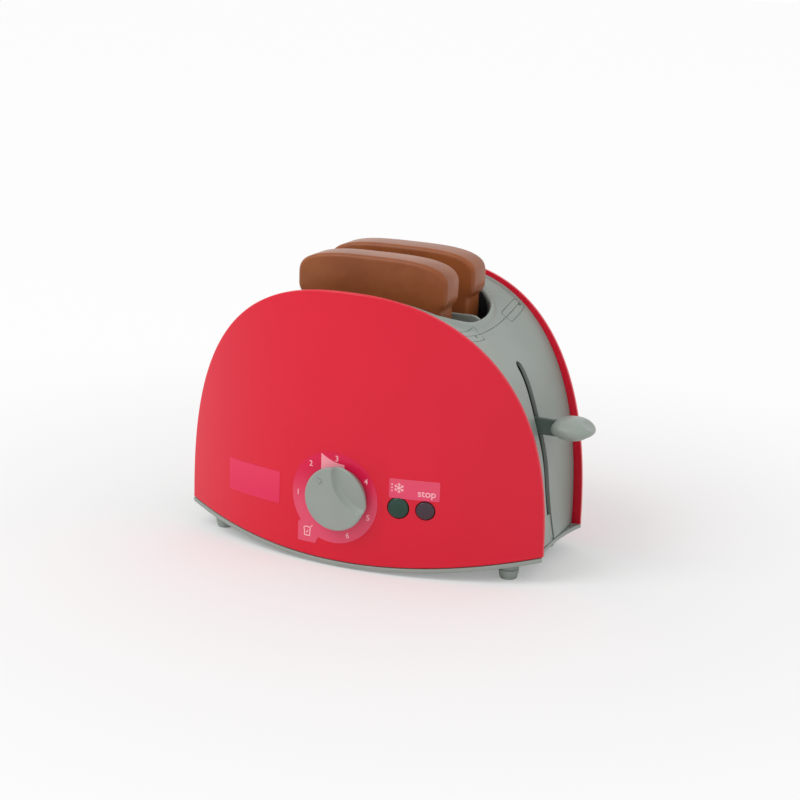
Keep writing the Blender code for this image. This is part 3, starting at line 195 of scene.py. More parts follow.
plate = bmesh.new()
bmesh.ops.create_grid(plate, x_segments=96, y_segments=24, size=1.0)
for vert in plate.verts:
    across = vert.co.y
    reach = half_length - rim_hollow * (1 - abs(across) ** 2.2)
    x = reach * vert.co.x
    vert.co = (x, across * bow(x), belly(x) - seat_gap)
bmesh.ops.recalc_face_normals(plate, faces=plate.faces)
if plate.faces[0].normal.z < 0:
    bmesh.ops.reverse_faces(plate, faces=plate.faces)
thicken(plate, (0, 0, -rim_height))
bmesh.ops.recalc_face_normals(plate, faces=plate.faces)
rim_edges = [e for e in plate.edges if e.calc_face_angle(0) > math.radians(50)]
bmesh.ops.bevel(plate, geom=rim_edges, offset=rim_round, segments=3, profile=0.5, affect="EDGES", material=-1)
plate = carved(plate, [drum((x, y, 0), screw_hole, "Z", -5 * MM, 20 * MM) for x, y in screw_spots]
               + [drum((x, y, 0), peg_hole, "Z", -5 * MM, 20 * MM) for x, y in foot_spots])
bosses = bmesh.new()
bosses.from_mesh(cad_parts["base_plate"].data)
bmesh.ops.translate(bosses, verts=bosses.verts, vec=-body_middle)
bmesh.ops.remove_doubles(bosses, verts=bosses.verts, dist=0.002 * MM)
for vert in bosses.verts:
    x, y, z = vert.co
    skin = belly(x) - seat_gap
    if abs(z - skin) < skin_match:
        vert.co.z -= skin_sink
    elif abs(z - skin + rim_height) < skin_match:
        vert.co.z += skin_sink
    if abs(y) > bow(x) - edge_match:
        vert.co.y *= 0.985
    if abs(x) > half_length - rim_hollow * (1 - min(abs(y) / bow(x), 1) ** 2.2) - edge_match:
        vert.co.x *= 0.994
plate = carved(plate, [cutter(bosses)], "UNION")
settle(plate, "base_tray", grey_abs, "shell", "base_plate", slot="grey_plastic")

# Feet: four small pads of grey thermoplastic rubber. Each has a peg that snaps into a hole in the base,
# and tapers a little to a soft-edged tread.


def lathe(profile, centre, axis, steps=64):
    """A turned shape: (radius, height) points spun about an axis through centre."""
    shape = bmesh.new()
    upright = Vector(axis)
    out = Vector((1, 0, 0)) if abs(upright.x) < 0.5 else Vector((0, 1, 0))
    last = None
    for radius, height in profile:
        point = shape.verts.new(Vector(centre) + out * radius * MM + upright * height * MM)
        if last:
            shape.edges.new((last, point))
        last = point
    bmesh.ops.spin(shape, geom=shape.verts[:] + shape.edges[:], cent=centre, axis=axis, angle=2 * math.pi,
                   steps=steps, use_merge=True)
    bmesh.ops.remove_doubles(shape, verts=shape.verts, dist=0.001 * MM)
    bmesh.ops.recalc_face_normals(shape, faces=shape.faces)
    return shape


# Thermoplastic rubber: nearly matt, with a dusty 0.6 mm mottle
foot_rubber = moulded_plastic("foot_tpr_rubber", "#a0a8a2", "#949c96", 0.62, 0.3, 0.6 * MM, 0.05 * MM, 8 * MM)
foot_profile = (
    (0, 0.3), (2.9, 0.3), (3.2, 0.05), (3.6, 0.0), (4.0, 0.08), (4.2, 0.35), (4.65, 2.35), (4.95, 4.2), (4.85, 4.55),
    (4.6, 4.7), (1.8, 4.7), (1.8, 9.0), (1.6, 9.2), (0, 9.2),
)
foot_names = ("foot_front_left", "foot_rear_left", "foot_front_right", "foot_rear_right")
for (x, y), name in zip(foot_spots, foot_names):
    settle(lathe(foot_profile, (x, y, 0), (0, 0, 1)), name.replace("foot", "rubber_foot"), foot_rubber, "shell", name,
           slot="foot_rubber")

# Base screws: four self-tapping pan-head screws of zinc-plated steel, driven up through the base into the
# body's pillars. The plating is bright and slightly grey.


def drawn_steel(name, colour, roughness, grain):
    """Steel with a fine uneven polish, as plating or wire drawing leaves it."""
    made = bpy.data.materials.new(name)
    made.use_nodes = True
    tree = made.node_tree
    shader = tree.nodes["Principled BSDF"]
    shader.inputs["Metallic"].default_value = 1.0
    place = add_node(tree, "ShaderNodeTexCoord").outputs["Object"]
    polish = add_node(tree, "ShaderNodeTexNoise", {"Vector": place, "Scale": 1 / grain, "Detail": 3.0})
    low, high = roughness * 0.8, roughness * 1.3
    span = add_node(tree, "ShaderNodeMapRange", {0: polish.outputs[0], 1: 0.3, 2: 0.7, 3: low, 4: high})
    tree.links.new(span.outputs[0], shader.inputs["Roughness"])
    tones = {0: polish.outputs[0], 6: linear(colour), 7: linear("#8f9295")}
    mix = add_node(tree, "ShaderNodeMix", tones, data_type="RGBA")
    tree.links.new(mix.outputs[2], shader.inputs["Base Color"])
    return made


def wear(surface, *nodes):
    """Give kept CAD solids their finish."""
    for node in nodes:
        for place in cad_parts[node].material_slots:
            place.material = surface


# Zinc plating on steel: a pale grey metal with a soft sheen
zinc_steel = drawn_steel("zinc_plated_steel", "#c6c9cc", 0.32, 1.5 * MM)
wear(zinc_steel, "base_screw_front_left", "base_screw_front_right", "base_screw_rear_left", "base_screw_rear_right")

# Bread guide: a dark oval chute below the opening, moulded in polypropylene. It stands on the base and keeps fingers
# away from the rods; its near-black colour is partly painted shade, which makes the inside look deep.
# Polypropylene: waxy, with a coarse 0.8 mm flow mottle, made near-black as painted shade for the deep well
guide_painted_shade_pp = moulded_plastic("guide_polypropylene_painted_shade", "#1d2628", "#161d20", 0.45, 0.4, 0.8 * MM, 0.03 * MM, 12 * MM)
wear(guide_painted_shade_pp, "bread_guide")

# Guide rods and lift springs: two straight drawn steel rods, each with a wound wire spring on which the
# carriage floats. The springs shorten as the lever goes down.


def wound_wire(start, axis, length, radius, wire, turns, steps=28):
    """A compression spring of round wire, from its first coil's middle along an axis."""
    shape = bmesh.new()
    along = Vector(axis)
    out = Vector((1, 0, 0))
    bmesh.ops.create_circle(shape, segments=10, radius=wire)
    facing = along.cross(out)
    for vert in shape.verts:
        vert.co = Vector(start) + out * (radius + vert.co.x) + along * vert.co.y
    count = turns * steps
    bmesh.ops.spin(shape, geom=shape.verts[:] + shape.edges[:], cent=start, axis=along,
                   dvec=along * (length / count), angle=2 * math.pi * turns, steps=count)
    bmesh.ops.remove_doubles(shape, verts=shape.verts, dist=0.0005 * MM)
    bmesh.ops.holes_fill(shape, edges=[e for e in shape.edges if e.is_boundary], sides=0)
    bmesh.ops.recalc_face_normals(shape, faces=shape.faces)
    return shape


# Drawn spring wire and ground rod: bright steel, its polish broken up at about 1 mm
spring_steel = drawn_steel("drawn_spring_steel", "#b9bcbe", 0.26, 1.0 * MM)
wear(spring_steel, "guide_rod_left", "guide_rod_right")
spring_foot, spring_head, wire_half = 12.1 * MM, 56.5 * MM, 0.35 * MM
for name, x in (("lift_spring_left", -54 * MM), ("lift_spring_right", 54 * MM)):
    start = (x, 0, spring_foot + wire_half)
    spring = wound_wire(start, (0, 0, 1), spring_head - spring_foot - 2 * wire_half, 2.9 * MM, wire_half, 7)
    spring = settle(spring, name.replace("lift", "wound_lift"), spring_steel, "shell", name, slot="steel")
    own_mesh(spring)

# Carriage: the moving frame of darker grey ABS that carries both slices. Hubs slide on the rods, and its
# stem reaches out through the slot to the handle.
# ABS with a matt mould finish, a shade darker than the body
carriage_abs = moulded_plastic("carriage_abs_dark_grey", "#5c6b64", "#56645e", 0.5, 0.3, 0.6 * MM, 0.03 * MM)
wear(carriage_abs, "carriage")

# Slices of toast: two slices moulded in brown ABS, with a domed crust, a tucked neck and edges rounded all
# round. They stand loose in the carriage's cradles and can be lifted out.
slice_half, slice_neck, slice_wide_z, slice_rise = 39.25 * MM, 36.3 * MM, 135.5 * MM, 12.8 * MM
slice_top_power, slice_side, slice_tuck, slice_bottom, slice_corner = 3.2, 3.8 * MM, 7.0 * MM, 60.8 * MM, 4.0 * MM
slice_half_thickness, slice_edge = 8.4 * MM, 2.2 * MM


def next_ring(shape, ring):
    """Extrude a ring of edges; gives the new edges and the new points."""
    step = bmesh.ops.extrude_edge_only(shape, edges=ring)["geom"]
    return [e for e in step if isinstance(e, bmesh.types.BMEdge)], verts_of(step)


def slice_point(turn):
    """Point of the slice's outline, turn from -pi to pi, with the crust above 0."""
    if turn >= 0:
        run, rise = math.cos(turn), math.sin(turn)
        return (slice_half * math.copysign(abs(run) ** (2 / slice_top_power), run),
                slice_wide_z + slice_rise * rise ** (2 / slice_top_power))
    side = 1 if turn > -math.pi / 2 else -1
    tuck_angle = math.acos(1 - (slice_half - slice_neck) / slice_tuck)
    neck_z = slice_wide_z - slice_side - slice_tuck * math.sin(tuck_angle)
    lengths = (slice_tuck * tuck_angle, neck_z - slice_bottom - slice_corner, slice_corner * math.pi / 2,
               slice_neck - slice_corner)
    run = (1 - abs(turn + math.pi / 2) / (math.pi / 2)) * (slice_side + sum(lengths))
    if run < slice_side:
        return side * slice_half, slice_wide_z - run
    run -= slice_side
    if run < lengths[0]:
        bend = run / slice_tuck
        return (side * (slice_half - slice_tuck * (1 - math.cos(bend))),
                slice_wide_z - slice_side - slice_tuck * math.sin(bend))
    run -= lengths[0]
    if run < lengths[1]:
        return side * slice_neck, neck_z - run
    run -= lengths[1]
    if run < lengths[2]:
        bend = run / slice_corner
        return (side * (slice_neck - slice_corner * (1 - math.cos(bend))),
                slice_bottom + slice_corner * (1 - math.sin(bend)))
    return side * (slice_neck - slice_corner - (run - lengths[2])), slice_bottom


def slice_ring(verts, layer, inset, y):
    """Place one ring of the slice, moved in from the outline."""
    for vert in verts:
        x, z = slice_point(vert[layer])
        ahead, behind = slice_point(vert[layer] + 0.004), slice_point(vert[layer] - 0.004)
        run, rise = ahead[0] - behind[0], ahead[1] - behind[1]
        size = math.hypot(run, rise)
        vert.co = (x - inset * rise / size, y, z + inset * run / size)


# Brown ABS, moulded and lightly polished: two toast tones drift over it at about 15 mm, and it shines at the crust
toast_abs = moulded_plastic("toast_brown_abs", "#9c5a32", "#8e4e2b", 0.32, 0.22, 0.9 * MM, 0.02 * MM, 15 * MM)
for name, body, y in (("toast_front", "front_slice", -17.5 * MM), ("toast_rear", "rear_slice", 17.5 * MM)):
    bread = bmesh.new()
    turn_layer = bread.verts.layers.float.new("turn")
    bmesh.ops.create_circle(bread, segments=400, radius=1.0, cap_ends=True)
    for vert in bread.verts:
        vert[turn_layer] = max(min(math.atan2(vert.co.y, vert.co.x), math.pi - 0.005), -math.pi + 0.005)
    steps = [(slice_edge * (1 - math.sin(a)), slice_edge * (1 - math.cos(a))) for a in
             [k * math.pi / 14 for k in range(8)]]
    rings = [(inset, y - slice_half_thickness + depth) for inset, depth in steps]
    rings += [(inset, y + slice_half_thickness - depth) for inset, depth in reversed(steps)]
    slice_ring(bread.verts, turn_layer, *rings[0])
    ring = bread.edges[:]
    for inset, place in rings[1:]:
        ring, fresh = next_ring(bread, ring)
        slice_ring(fresh, turn_layer, inset, place)
    bmesh.ops.holes_fill(bread, edges=[e for e in bread.edges if e.is_boundary], sides=0)
    bmesh.ops.recalc_face_normals(bread, faces=bread.faces)
    settle(bread, name.replace("toast", "slice"), toast_abs, body, name, slot="toast_brown")

# Red panels: two bowed shells of glossy red ABS that clip over the body's sides. The mould leaves a small
# radius round the outline, which shows as a pale line along the arch, and a very smooth face.
panel_thickness = 2.3 * MM
panel_round = 0.8 * MM
arch_height = 122.0 * MM
arch_length_power = 2.34
arch_height_power = 2.52
arch_steps = 120
knob_z, knob_hole = 36.5 * MM, 3.4 * MM
defrost_x, defrost_z, defrost_radius = 29.5 * MM, 34.5 * MM, 5.0 * MM
stop_x, stop_z, stop_radius = 42.4 * MM, 34.4 * MM, 4.35 * MM
button_gap = 0.4 * MM


def arch_point(t, inward=0.0):
    """Point of the arched outline at angle t, moved inward along the outline's normal."""
    run, rise = math.cos(t), max(math.sin(t), 0.0)
    x = half_length * math.copysign(abs(run) ** (2 / arch_length_power), run)
    z = arch_height * rise ** (2 / arch_height_power)
    slope_x = arch_length_power / half_length * abs(x / half_length) ** (arch_length_power - 1)
    slope_z = arch_height_power / arch_height * (z / arch_height) ** (arch_height_power - 1)
    size = math.hypot(slope_x, slope_z)
    return x - inward * math.copysign(slope_x, x) / size, tip_height + z - inward * slope_z / size


def control_holes():
    """Cutters for the knob's spindle and the two buttons."""
    places = ((0.0, knob_z, knob_hole), (defrost_x, defrost_z, defrost_radius + button_gap),
              (stop_x, stop_z, stop_radius + button_gap))
    return [drum((x, 0, z), radius, "Y", -70 * MM, -30 * MM, 64) for x, z, radius in places]


# Gloss ABS from a polished mould: strong even red, a clear sheen, and only a trace of orange peel at 1.2 mm
red_abs = moulded_plastic("red_abs_gloss", "#e01231", "#dc102f", 0.24, 0.3, 1.2 * MM, 0.01 * MM, 80 * MM)


def slit(shape, x):
    """Cut a mesh across at x, so that it can bend there."""
    bmesh.ops.bisect_plane(shape, geom=shape.verts[:] + shape.edges[:] + shape.faces[:], dist=0.001 * MM,
                           plane_co=(x, 0, 0), plane_no=(1, 0, 0))


def red_panel(side, name, node):
    shape = bmesh.new()
    bmesh.ops.create_circle(shape, segments=2 * arch_steps, radius=1.0, cap_ends=True)
    for vert in shape.verts:
        angle = math.atan2(vert.co.y, vert.co.x)
        if angle > -1e-6:
            x, z = arch_point(min(max(angle, 0.0), math.pi))
        else:
            x = arch_point(-angle)[0]
            z = belly(x)
        vert.co = (x, 0.0, z)
    bmesh.ops.remove_doubles(shape, verts=shape.verts, dist=0.001 * MM)
    thicken(shape, (0, panel_thickness, 0))
    bmesh.ops.recalc_face_normals(shape, faces=shape.faces)
    outline = [e for e in shape.edges if max(abs(v.co.y) for v in e.verts) < 0.01 * MM]
    bmesh.ops.bevel(shape, geom=outline, offset=panel_round, segments=4, profile=0.5, affect="EDGES", material=-1)
    for k in range(1, arch_steps):
        slit(shape, arch_point(math.pi * k / arch_steps)[0])
    for vert in shape.verts:
        vert.co.y = side * (bow(vert.co.x) - vert.co.y)
    bmesh.ops.recalc_face_normals(shape, faces=shape.faces)
    if side < 0:
        shape = carved(shape, control_holes())
    return settle(shape, name, red_abs, "shell", node, slot="red_plastic")


red_panel(-1, "panel_front", "front_panel")
red_panel(1, "panel_rear", "rear_panel")

# Body: one grey moulding whose ends are saddle-shaped troughs between the red panels. Its side walls stand
# behind the panels and show as a thin strip beside the cover. The lever's slot is cut in the right end.
side_gap = 0.3 * MM
side_wall = 1.8 * MM
foot_inset = 5.2 * MM
top_inset = 2.0 * MM
centre_inset = 8.6 * MM
seam_x = 51.4 * MM
slot_half = 3.0 * MM
slot_top = 100.0 * MM
slot_edge, relief_depth, relief_side = 0.8 * MM, 2.4 * MM, 3 * MM


def side_outer(x):
    return bow(x) - panel_thickness - side_gap


def trough_inset(t, v):
    """How far the trough lies inside the arch; v runs from -1 to 1 across it."""
    rise = max(math.sin(t), 0.0)
    level = rise ** (2 / arch_height_power)
    edge = foot_inset - (foot_inset - top_inset) * rise ** 1.5
    blend = 1 - min(level / 0.25, 1)
    middle = centre_inset - (centre_inset - foot_inset) * blend ** 2
    middle += 0.7 * MM * math.exp(-((level - 0.48) / 0.1) ** 2) - 1.5 * MM * math.exp(-((level - 0.72) / 0.1) ** 2)
    return edge + (middle - edge) * (1 - v * v)


def trough_height(x, y):
    """Height of the trough's surface over a plan point."""
    low, high = 0.0, math.pi / 2
    v = y / side_outer(x)
    for attempt in range(26):
        t = (low + high) / 2
        low, high = (t, high) if arch_point(t, trough_inset(t, v))[0] > abs(x) else (low, t)
    return arch_point(low, trough_inset(low, v))[1]


def cover_plan(gap):
    """Prism over the cover's plan: straight seams at both ends, sides along the body's walls."""
    shape = bmesh.new()
    bmesh.ops.create_grid(shape, x_segments=40, y_segments=1, size=1.0)
    for vert in shape.verts:
        x = vert.co.x * (seam_x + gap)
        vert.co = (x, vert.co.y * (side_outer(x) - side_wall - side_gap + gap), 90 * MM)
    thicken(shape, (0, 0, 60 * MM))
    return cutter(shape)


def slot_plan():
    """Long slot with a round top end, along the body's length."""
    shape = bmesh.new()
    bmesh.ops.create_circle(shape, segments=40, radius=slot_half, cap_ends=True)
    for vert in shape.verts:
        y, z = vert.co.x, vert.co.y
        vert.co = (60 * MM, y, slot_top - slot_half + z if z > -0.01 * MM else -10 * MM)
    thicken(shape, (60 * MM, 0, 0))
    return cutter(shape)


def slot_relief():
    """Hollow behind the slot, which leaves its edges thin."""
    shape = bmesh.new()
    bmesh.ops.create_grid(shape, x_segments=60, y_segments=4, size=1.0)
    for vert in shape.verts:
        vert.co = (0.41 + 0.38 * vert.co.x, vert.co.y * (slot_half + relief_side), 0)
    thicken(shape, (0, 0, 1))
    for vert in shape.verts:
        t, y, depth = vert.co
        across = y / side_outer(arch_point(t, trough_inset(t, 0))[0])
        x, z = arch_point(t, trough_inset(t, across) + slot_edge + relief_depth * depth)
        vert.co = (x, y, z)
    return cutter(shape)


def oval_point(angle, half_x, half_y, power=3.8):
    x = math.copysign(abs(math.cos(angle)) ** (2 / power), math.cos(angle))
    y = math.copysign(abs(math.sin(angle)) ** (2 / power), math.sin(angle))
    return half_x * x, half_y * y


def clip_marks():
    """Cutters for the marks of the four snap clips: a fine rounded outline and a small dimple on each."""
    clip_half, clip_power, clip_middle, line_width, line_depth = 3.2, 7, 51.3, 0.35, 0.45
    dimple_x, dimple_radius, dimple_depth, clearance = 51.9 * MM, 0.8 * MM, 1.1 * MM, 4 * MM
    tools = []
    for end in (-1, 1):
        for low, high, dimple in ((24.0, 42.6, 41.0), (-30.0, -11.0, -17.7)):
            mark = bmesh.new()
            bmesh.ops.create_circle(mark, segments=72, radius=1.0)
            half = (high - low) / 2
            turns = {vert: math.atan2(vert.co.y, vert.co.x) for vert in mark.verts}
            for vert, turn in turns.items():
                vert.co = (*oval_point(turn, clip_half * MM, half * MM, clip_power), 0)
            for vert in next_ring(mark, mark.edges[:])[1]:
                vert.co.x *= 1 - line_width / clip_half
                vert.co.y *= 1 - line_width / half
            for vert in mark.verts:
                x, y = end * (clip_middle * MM + vert.co.x), (low + high) / 2 * MM + vert.co.y
                vert.co = (x, y, trough_height(x, y) - line_depth * MM)
            thicken(mark, (0, 0, clearance))
            tools.append(cutter(mark))
            x, y = end * dimple_x, dimple * MM
            height = trough_height(x, y)
            tools.append(drum((x, y, 0), dimple_radius, "Z", height - dimple_depth, height + clearance, 20))
    return tools


housing = bmesh.new()
bmesh.ops.create_grid(housing, x_segments=160, y_segments=24, size=1.0)
for vert in housing.verts:
    t, share = math.pi * (1 - vert.co.x) / 2, vert.co.y
    x, z = arch_point(t, trough_inset(t, share))
    vert.co = (x, share * side_outer(x), z)
rim = [e for e in housing.edges if e.is_boundary]
for vert in next_ring(housing, rim)[1]:
    vert.co.z = belly(vert.co.x)
bmesh.ops.remove_doubles(housing, verts=housing.verts, dist=0.001 * MM)
bmesh.ops.recalc_face_normals(housing, faces=housing.faces)
top_face = max(housing.faces, key=lambda f: f.calc_center_median().z)
if top_face.normal.z < 0:
    bmesh.ops.reverse_faces(housing, faces=housing.faces)
bmesh.ops.solidify(housing, geom=housing.faces[:], thickness=side_wall)
housing = carved(housing, [cover_plan(0.0), slot_relief(), slot_plan(), *clip_marks(), *control_holes()])
settle(housing, "body_shell", grey_abs, "shell", "housing", slot="grey_plastic", sharp=30)

# Cover: the middle of the saddle is a separate grey lid with an oval bread opening. A low rounded lip runs
# round the opening and follows the saddle, a thin rib between the slices divides it, and a thin near-black
# sheet in the guide's material lines the well up to the lip as painted shade.
well_length, well_width, well_bottom, well_power = 45.8 * MM, 34.8 * MM, 103.93 * MM, 3.8
lip_length, lip_width, lip_power = 46.5 * MM, 40.3 * MM, 2.7
lip_steps = (
    (0.0, -0.6), (0.05, 0.2), (0.25, 0.75), (0.6, 1.1), (1.1, 1.27), (1.7, 1.25), (2.3, 0.95), (2.8, 0.55),
    (3.3, 0.22), (3.8, 0.05), (4.2, 0.0),
)
lip_end, lip_end_reach, lip_end_gain = 36 * MM, 10 * MM, 1.1
cover_skin, cover_overlap = 0.6 * MM, 3 * MM
rib_half, rib_top, rib_round, rib_end = 0.9 * MM, 120.0 * MM, 0.6 * MM, 0.2 * MM
shade_lining_gap, shade_lining_drop, shade_lining_wall = 0.4 * MM, 0.2 * MM, 0.2 * MM


def lip_rise(x, rise):
    """Height of the lip above the saddle: it stands higher round both ends of the opening."""
    near = min(max((abs(x) - lip_end) / lip_end_reach, 0.0), 1.0)
    return rise * MM * (1 + lip_end_gain * near * near * (3 - 2 * near) * (rise > 0))


def well_point(turn, climb, inward, drop):
    """Point on the well's wall; climb runs from 0 at its foot to 1 at drop below the saddle."""
    low = oval_point(turn, well_length - inward, well_width - inward, well_power)
    high = oval_point(turn, lip_length - inward, lip_width - inward, lip_power)
    x, y = low[0] + (high[0] - low[0]) * climb, low[1] + (high[1] - low[1]) * climb
    return x, y, well_bottom + (trough_height(*high) - drop - well_bottom) * climb


lid = bmesh.new()
turn_layer = lid.verts.layers.float.new("turn")
bmesh.ops.create_circle(lid, segments=200, radius=1.0)
for vert in lid.verts:
    vert[turn_layer] = math.atan2(vert.co.y, vert.co.x)
    vert.co = (*oval_point(vert[turn_layer], well_length, well_width, well_power), well_bottom)
ring = lid.edges[:]
for climb in (0.2, 0.4, 0.6, 0.8, 0.92):
    ring, fresh = next_ring(lid, ring)
    for vert in fresh:
        vert.co = well_point(vert[turn_layer], climb, 0.0, cover_skin)
for out, rise in lip_steps:
    ring, fresh = next_ring(lid, ring)
    for vert in fresh:
        x, y = oval_point(vert[turn_layer], lip_length + out * MM, lip_width + out * MM, lip_power)
        vert.co = (x, y, trough_height(x, y) + lip_rise(x, rise))
lip_foot = {vert[turn_layer]: vert.co.copy() for edge in ring for vert in edge.verts}
for share in (0.2, 0.45, 0.7, 1.0):
    ring, fresh = next_ring(lid, ring)
    for vert in fresh:
        x, y = oval_point(vert[turn_layer], seam_x + cover_overlap, 1.0, 14)
        y *= side_outer(x) - side_gap
        start = lip_foot[vert[turn_layer]]
        x, y = start.x + (x - start.x) * share, start.y + (y - start.y) * share
        vert.co = (x, y, trough_height(x, y))
bmesh.ops.recalc_face_normals(lid, faces=lid.faces)
outermost = max(lid.faces, key=lambda f: f.calc_center_median().length)
if outermost.normal.z < 0:
    bmesh.ops.reverse_faces(lid, faces=lid.faces)
bmesh.ops.solidify(lid, geom=lid.faces[:], thickness=cover_skin)
lid = carved(lid, [cover_plan(-side_gap)], "INTERSECT")
lid = carved(lid, clip_marks())
settle(lid, "cover", grey_abs, "shell", "top_cover", slot="grey_plastic", sharp=30)

rib = bmesh.new()
bmesh.ops.create_grid(rib, x_segments=72, y_segments=1, size=1.0)
for vert in rib.verts:
    x = vert.co.x * (lip_length + rib_end)
    upper = min(rib_top, trough_height(x, 0.0) + lip_rise(x, 1.1))
    vert.co = (x, -rib_half, upper if vert.co.y > 0 else well_bottom + 0.5 * MM)
thicken(rib, (0, 2 * rib_half, 0))
bmesh.ops.recalc_face_normals(rib, faces=rib.faces)
crest = [e for e in rib.edges if e.calc_face_angle(0) > math.radians(60)
         and min(v.co.z for v in e.verts) > well_bottom + 2 * MM and abs(e.verts[0].co.x - e.verts[1].co.x) > 0.1 * MM]
bmesh.ops.bevel(rib, geom=crest, offset=rib_round, segments=3, profile=0.5, affect="EDGES", material=-1)
settle(rib, "cover_rib", grey_abs, "shell", slot="grey_plastic")

# Painted shade: a 0.2 mm near-black sheet over the well's grey wall, so the opening looks dark inside.
shade_lining = bmesh.new()
turn_layer = shade_lining.verts.layers.float.new("turn")
bmesh.ops.create_circle(shade_lining, segments=200, radius=1.0)
for vert in shade_lining.verts:
    vert[turn_layer] = math.atan2(vert.co.y, vert.co.x)
    vert.co = well_point(vert[turn_layer], 0.0, shade_lining_gap, shade_lining_drop)
ring = shade_lining.edges[:]
for climb in (0.25, 0.5, 0.75, 1.0):
    ring, fresh = next_ring(shade_lining, ring)
    for vert in fresh:
        vert.co = well_point(vert[turn_layer], climb, shade_lining_gap, shade_lining_drop)
bmesh.ops.recalc_face_normals(shade_lining, faces=shade_lining.faces)
bmesh.ops.solidify(shade_lining, geom=shade_lining.faces[:], thickness=shade_lining_wall)
settle(shade_lining, "well_lining_painted_shade", guide_painted_shade_pp, "shell", slot="dark_plastic")

# Lever handle: a smooth grey pebble of ABS pressed on the carriage's stem. A ridge runs along its lower
# front, and the outer end has a shallow dish for a fingertip.
handle_middle = Vector((97.45 * MM, 0.0, 70.65 * MM))
handle_size = Vector((10.15 * MM, 11.8 * MM, 5.4 * MM))
dish_radius, dish_place = 13.0 * MM, Vector((14.8, 0.0, 12.4)) * MM
ridge_level, ridge_step = -0.35, 0.09
pebble = bmesh.new()
bmesh.ops.create_uvsphere(pebble, u_segments=96, v_segments=64, radius=1.0)
for vert in pebble.verts:
    spread = math.hypot(vert.co.x, vert.co.y)
    turn, up = math.atan2(vert.co.y, vert.co.x), vert.co.z
    round_x, round_y = oval_point(turn, 1.0, 1.0, 2.8)
    reach = spread ** (2 / 2.2)
    level = math.copysign(abs(up) ** (2 / 2.1), up)
    if level < ridge_level:
        reach *= 1 - ridge_step * min((ridge_level - level) * 12, 1)
    tip = max(round_x * reach, 0.0) ** 2
    vert.co = (round_x * reach * handle_size.x, round_y * reach * handle_size.y * (1 - 0.22 * tip),
               level * handle_size.z * (1 - 0.3 * tip) - 0.6 * MM * tip)
bmesh.ops.translate(pebble, verts=pebble.verts, vec=handle_middle)
dish = bmesh.new()
bmesh.ops.create_uvsphere(dish, u_segments=72, v_segments=48, radius=dish_radius)
bmesh.ops.scale(dish, verts=dish.verts, vec=(1.0, 1.2, 1.0))
bmesh.ops.translate(dish, verts=dish.verts, vec=handle_middle + dish_place)
pebble = carved(pebble, [cutter(dish)])
settle(pebble, "lever_grip", grey_abs, "lever", "lever_handle", slot="grey_plastic", sharp=28)

# Timer knob: a round grey dial of satin ABS pushed on its spindle. A finger scoop is sunk in the upper right
# of its face, and a small raised arrow beside it points to the numbers.
knob_radius, knob_front, knob_back, knob_round = 15.7, -61.2, -54.8, 0.9
scoop_centre, scoop_radius, scoop_depth, scoop_wall, scoop_run = Vector((16.64, 12.48)), 18.4, 3.0, 3.2, 15.0
arrow_x, arrow_z, arrow_size, arrow_rise, arrow_round = -8.0 * MM, 8.2 * MM, 2.0 * MM, 0.6 * MM, 0.15 * MM
knob_profile = [(0, -57.6), (3.3, -57.6), (3.3, -55.0), (3.5, knob_back), (13.7, knob_back), (14.1, knob_back - 0.3)]
knob_profile += [(knob_radius - knob_round * (1 - math.sin(a)), knob_front + knob_round * (1 - math.cos(a)))
                 for a in [math.pi / 2 * (1 - k / 6) for k in range(7)]]
knob_profile += [(knob_radius - knob_round - (knob_radius - knob_round) * k / 60, knob_front) for k in range(1, 61)]
knob = lathe(knob_profile, (0, 0, knob_z), (0, 1, 0), 216)
for vert in knob.verts:
    if vert.co.y < (knob_front + 1.2) * MM:
        away = (Vector((vert.co.x, vert.co.z - knob_z)) / MM - scoop_centre).length
        inside = scoop_radius - away
        if inside > 0:
            wall = min(inside / scoop_wall, 1.0)
            vert.co.y += scoop_depth * MM * wall * (2 - wall) * max(1 - inside / scoop_run, 0.0)
settle(knob, "dial_knob", grey_abs, "knob", "timer_knob", slot="grey_plastic", sharp=50)

arrow = bmesh.new()
bmesh.ops.create_circle(arrow, segments=3, radius=arrow_size, cap_ends=True)
for vert in arrow.verts:
    across, up = vert.co.x, vert.co.y
    vert.co = (arrow_x - up * 0.7 + across * 0.6, (knob_front + 0.1) * MM, knob_z + arrow_z + up * 0.7 + across * 0.6)
thicken(arrow, (0, -arrow_rise, 0))
bmesh.ops.recalc_face_normals(arrow, faces=arrow.faces)
bmesh.ops.bevel(arrow, geom=arrow.edges[:], offset=arrow_round, segments=2, profile=0.5, affect="EDGES", material=-1)
settle(arrow, "dial_knob_arrow", grey_abs, "knob", slot="grey_plastic")

# Spindle, clip and click spring: the knob's pale acetal spindle turns in the base's bracket. A steel clip
# holds it, and a steel strip clicks over its toothed wheel.
# Acetal: milky and slightly waxy, with a 1 mm mottle
spindle_acetal = moulded_plastic("spindle_acetal", "#d8d6cc", "#cfcdc2", 0.4, 0.4, 1.0 * MM, 0.02 * MM, 10 * MM)
wear(spindle_acetal, "knob_spindle")
wear(spring_steel, "spindle_clip", "click_spring")

# Buttons: two round push buttons in polished ABS, the left one dark green and the right one dark plum. Each
# follows the panel's bow, has a rounded edge, and is pushed out by a small wire spring behind it.
# Polished ABS: dark and glossy, with small sharp highlights
green_abs = moulded_plastic("button_green_abs", "#143f32", "#10382c", 0.14, 0.38, 1.0 * MM, 0.005 * MM, 6 * MM)
plum_abs = moulded_plastic("button_plum_abs", "#432a38", "#3a2c34", 0.14, 0.38, 1.0 * MM, 0.005 * MM, 6 * MM)


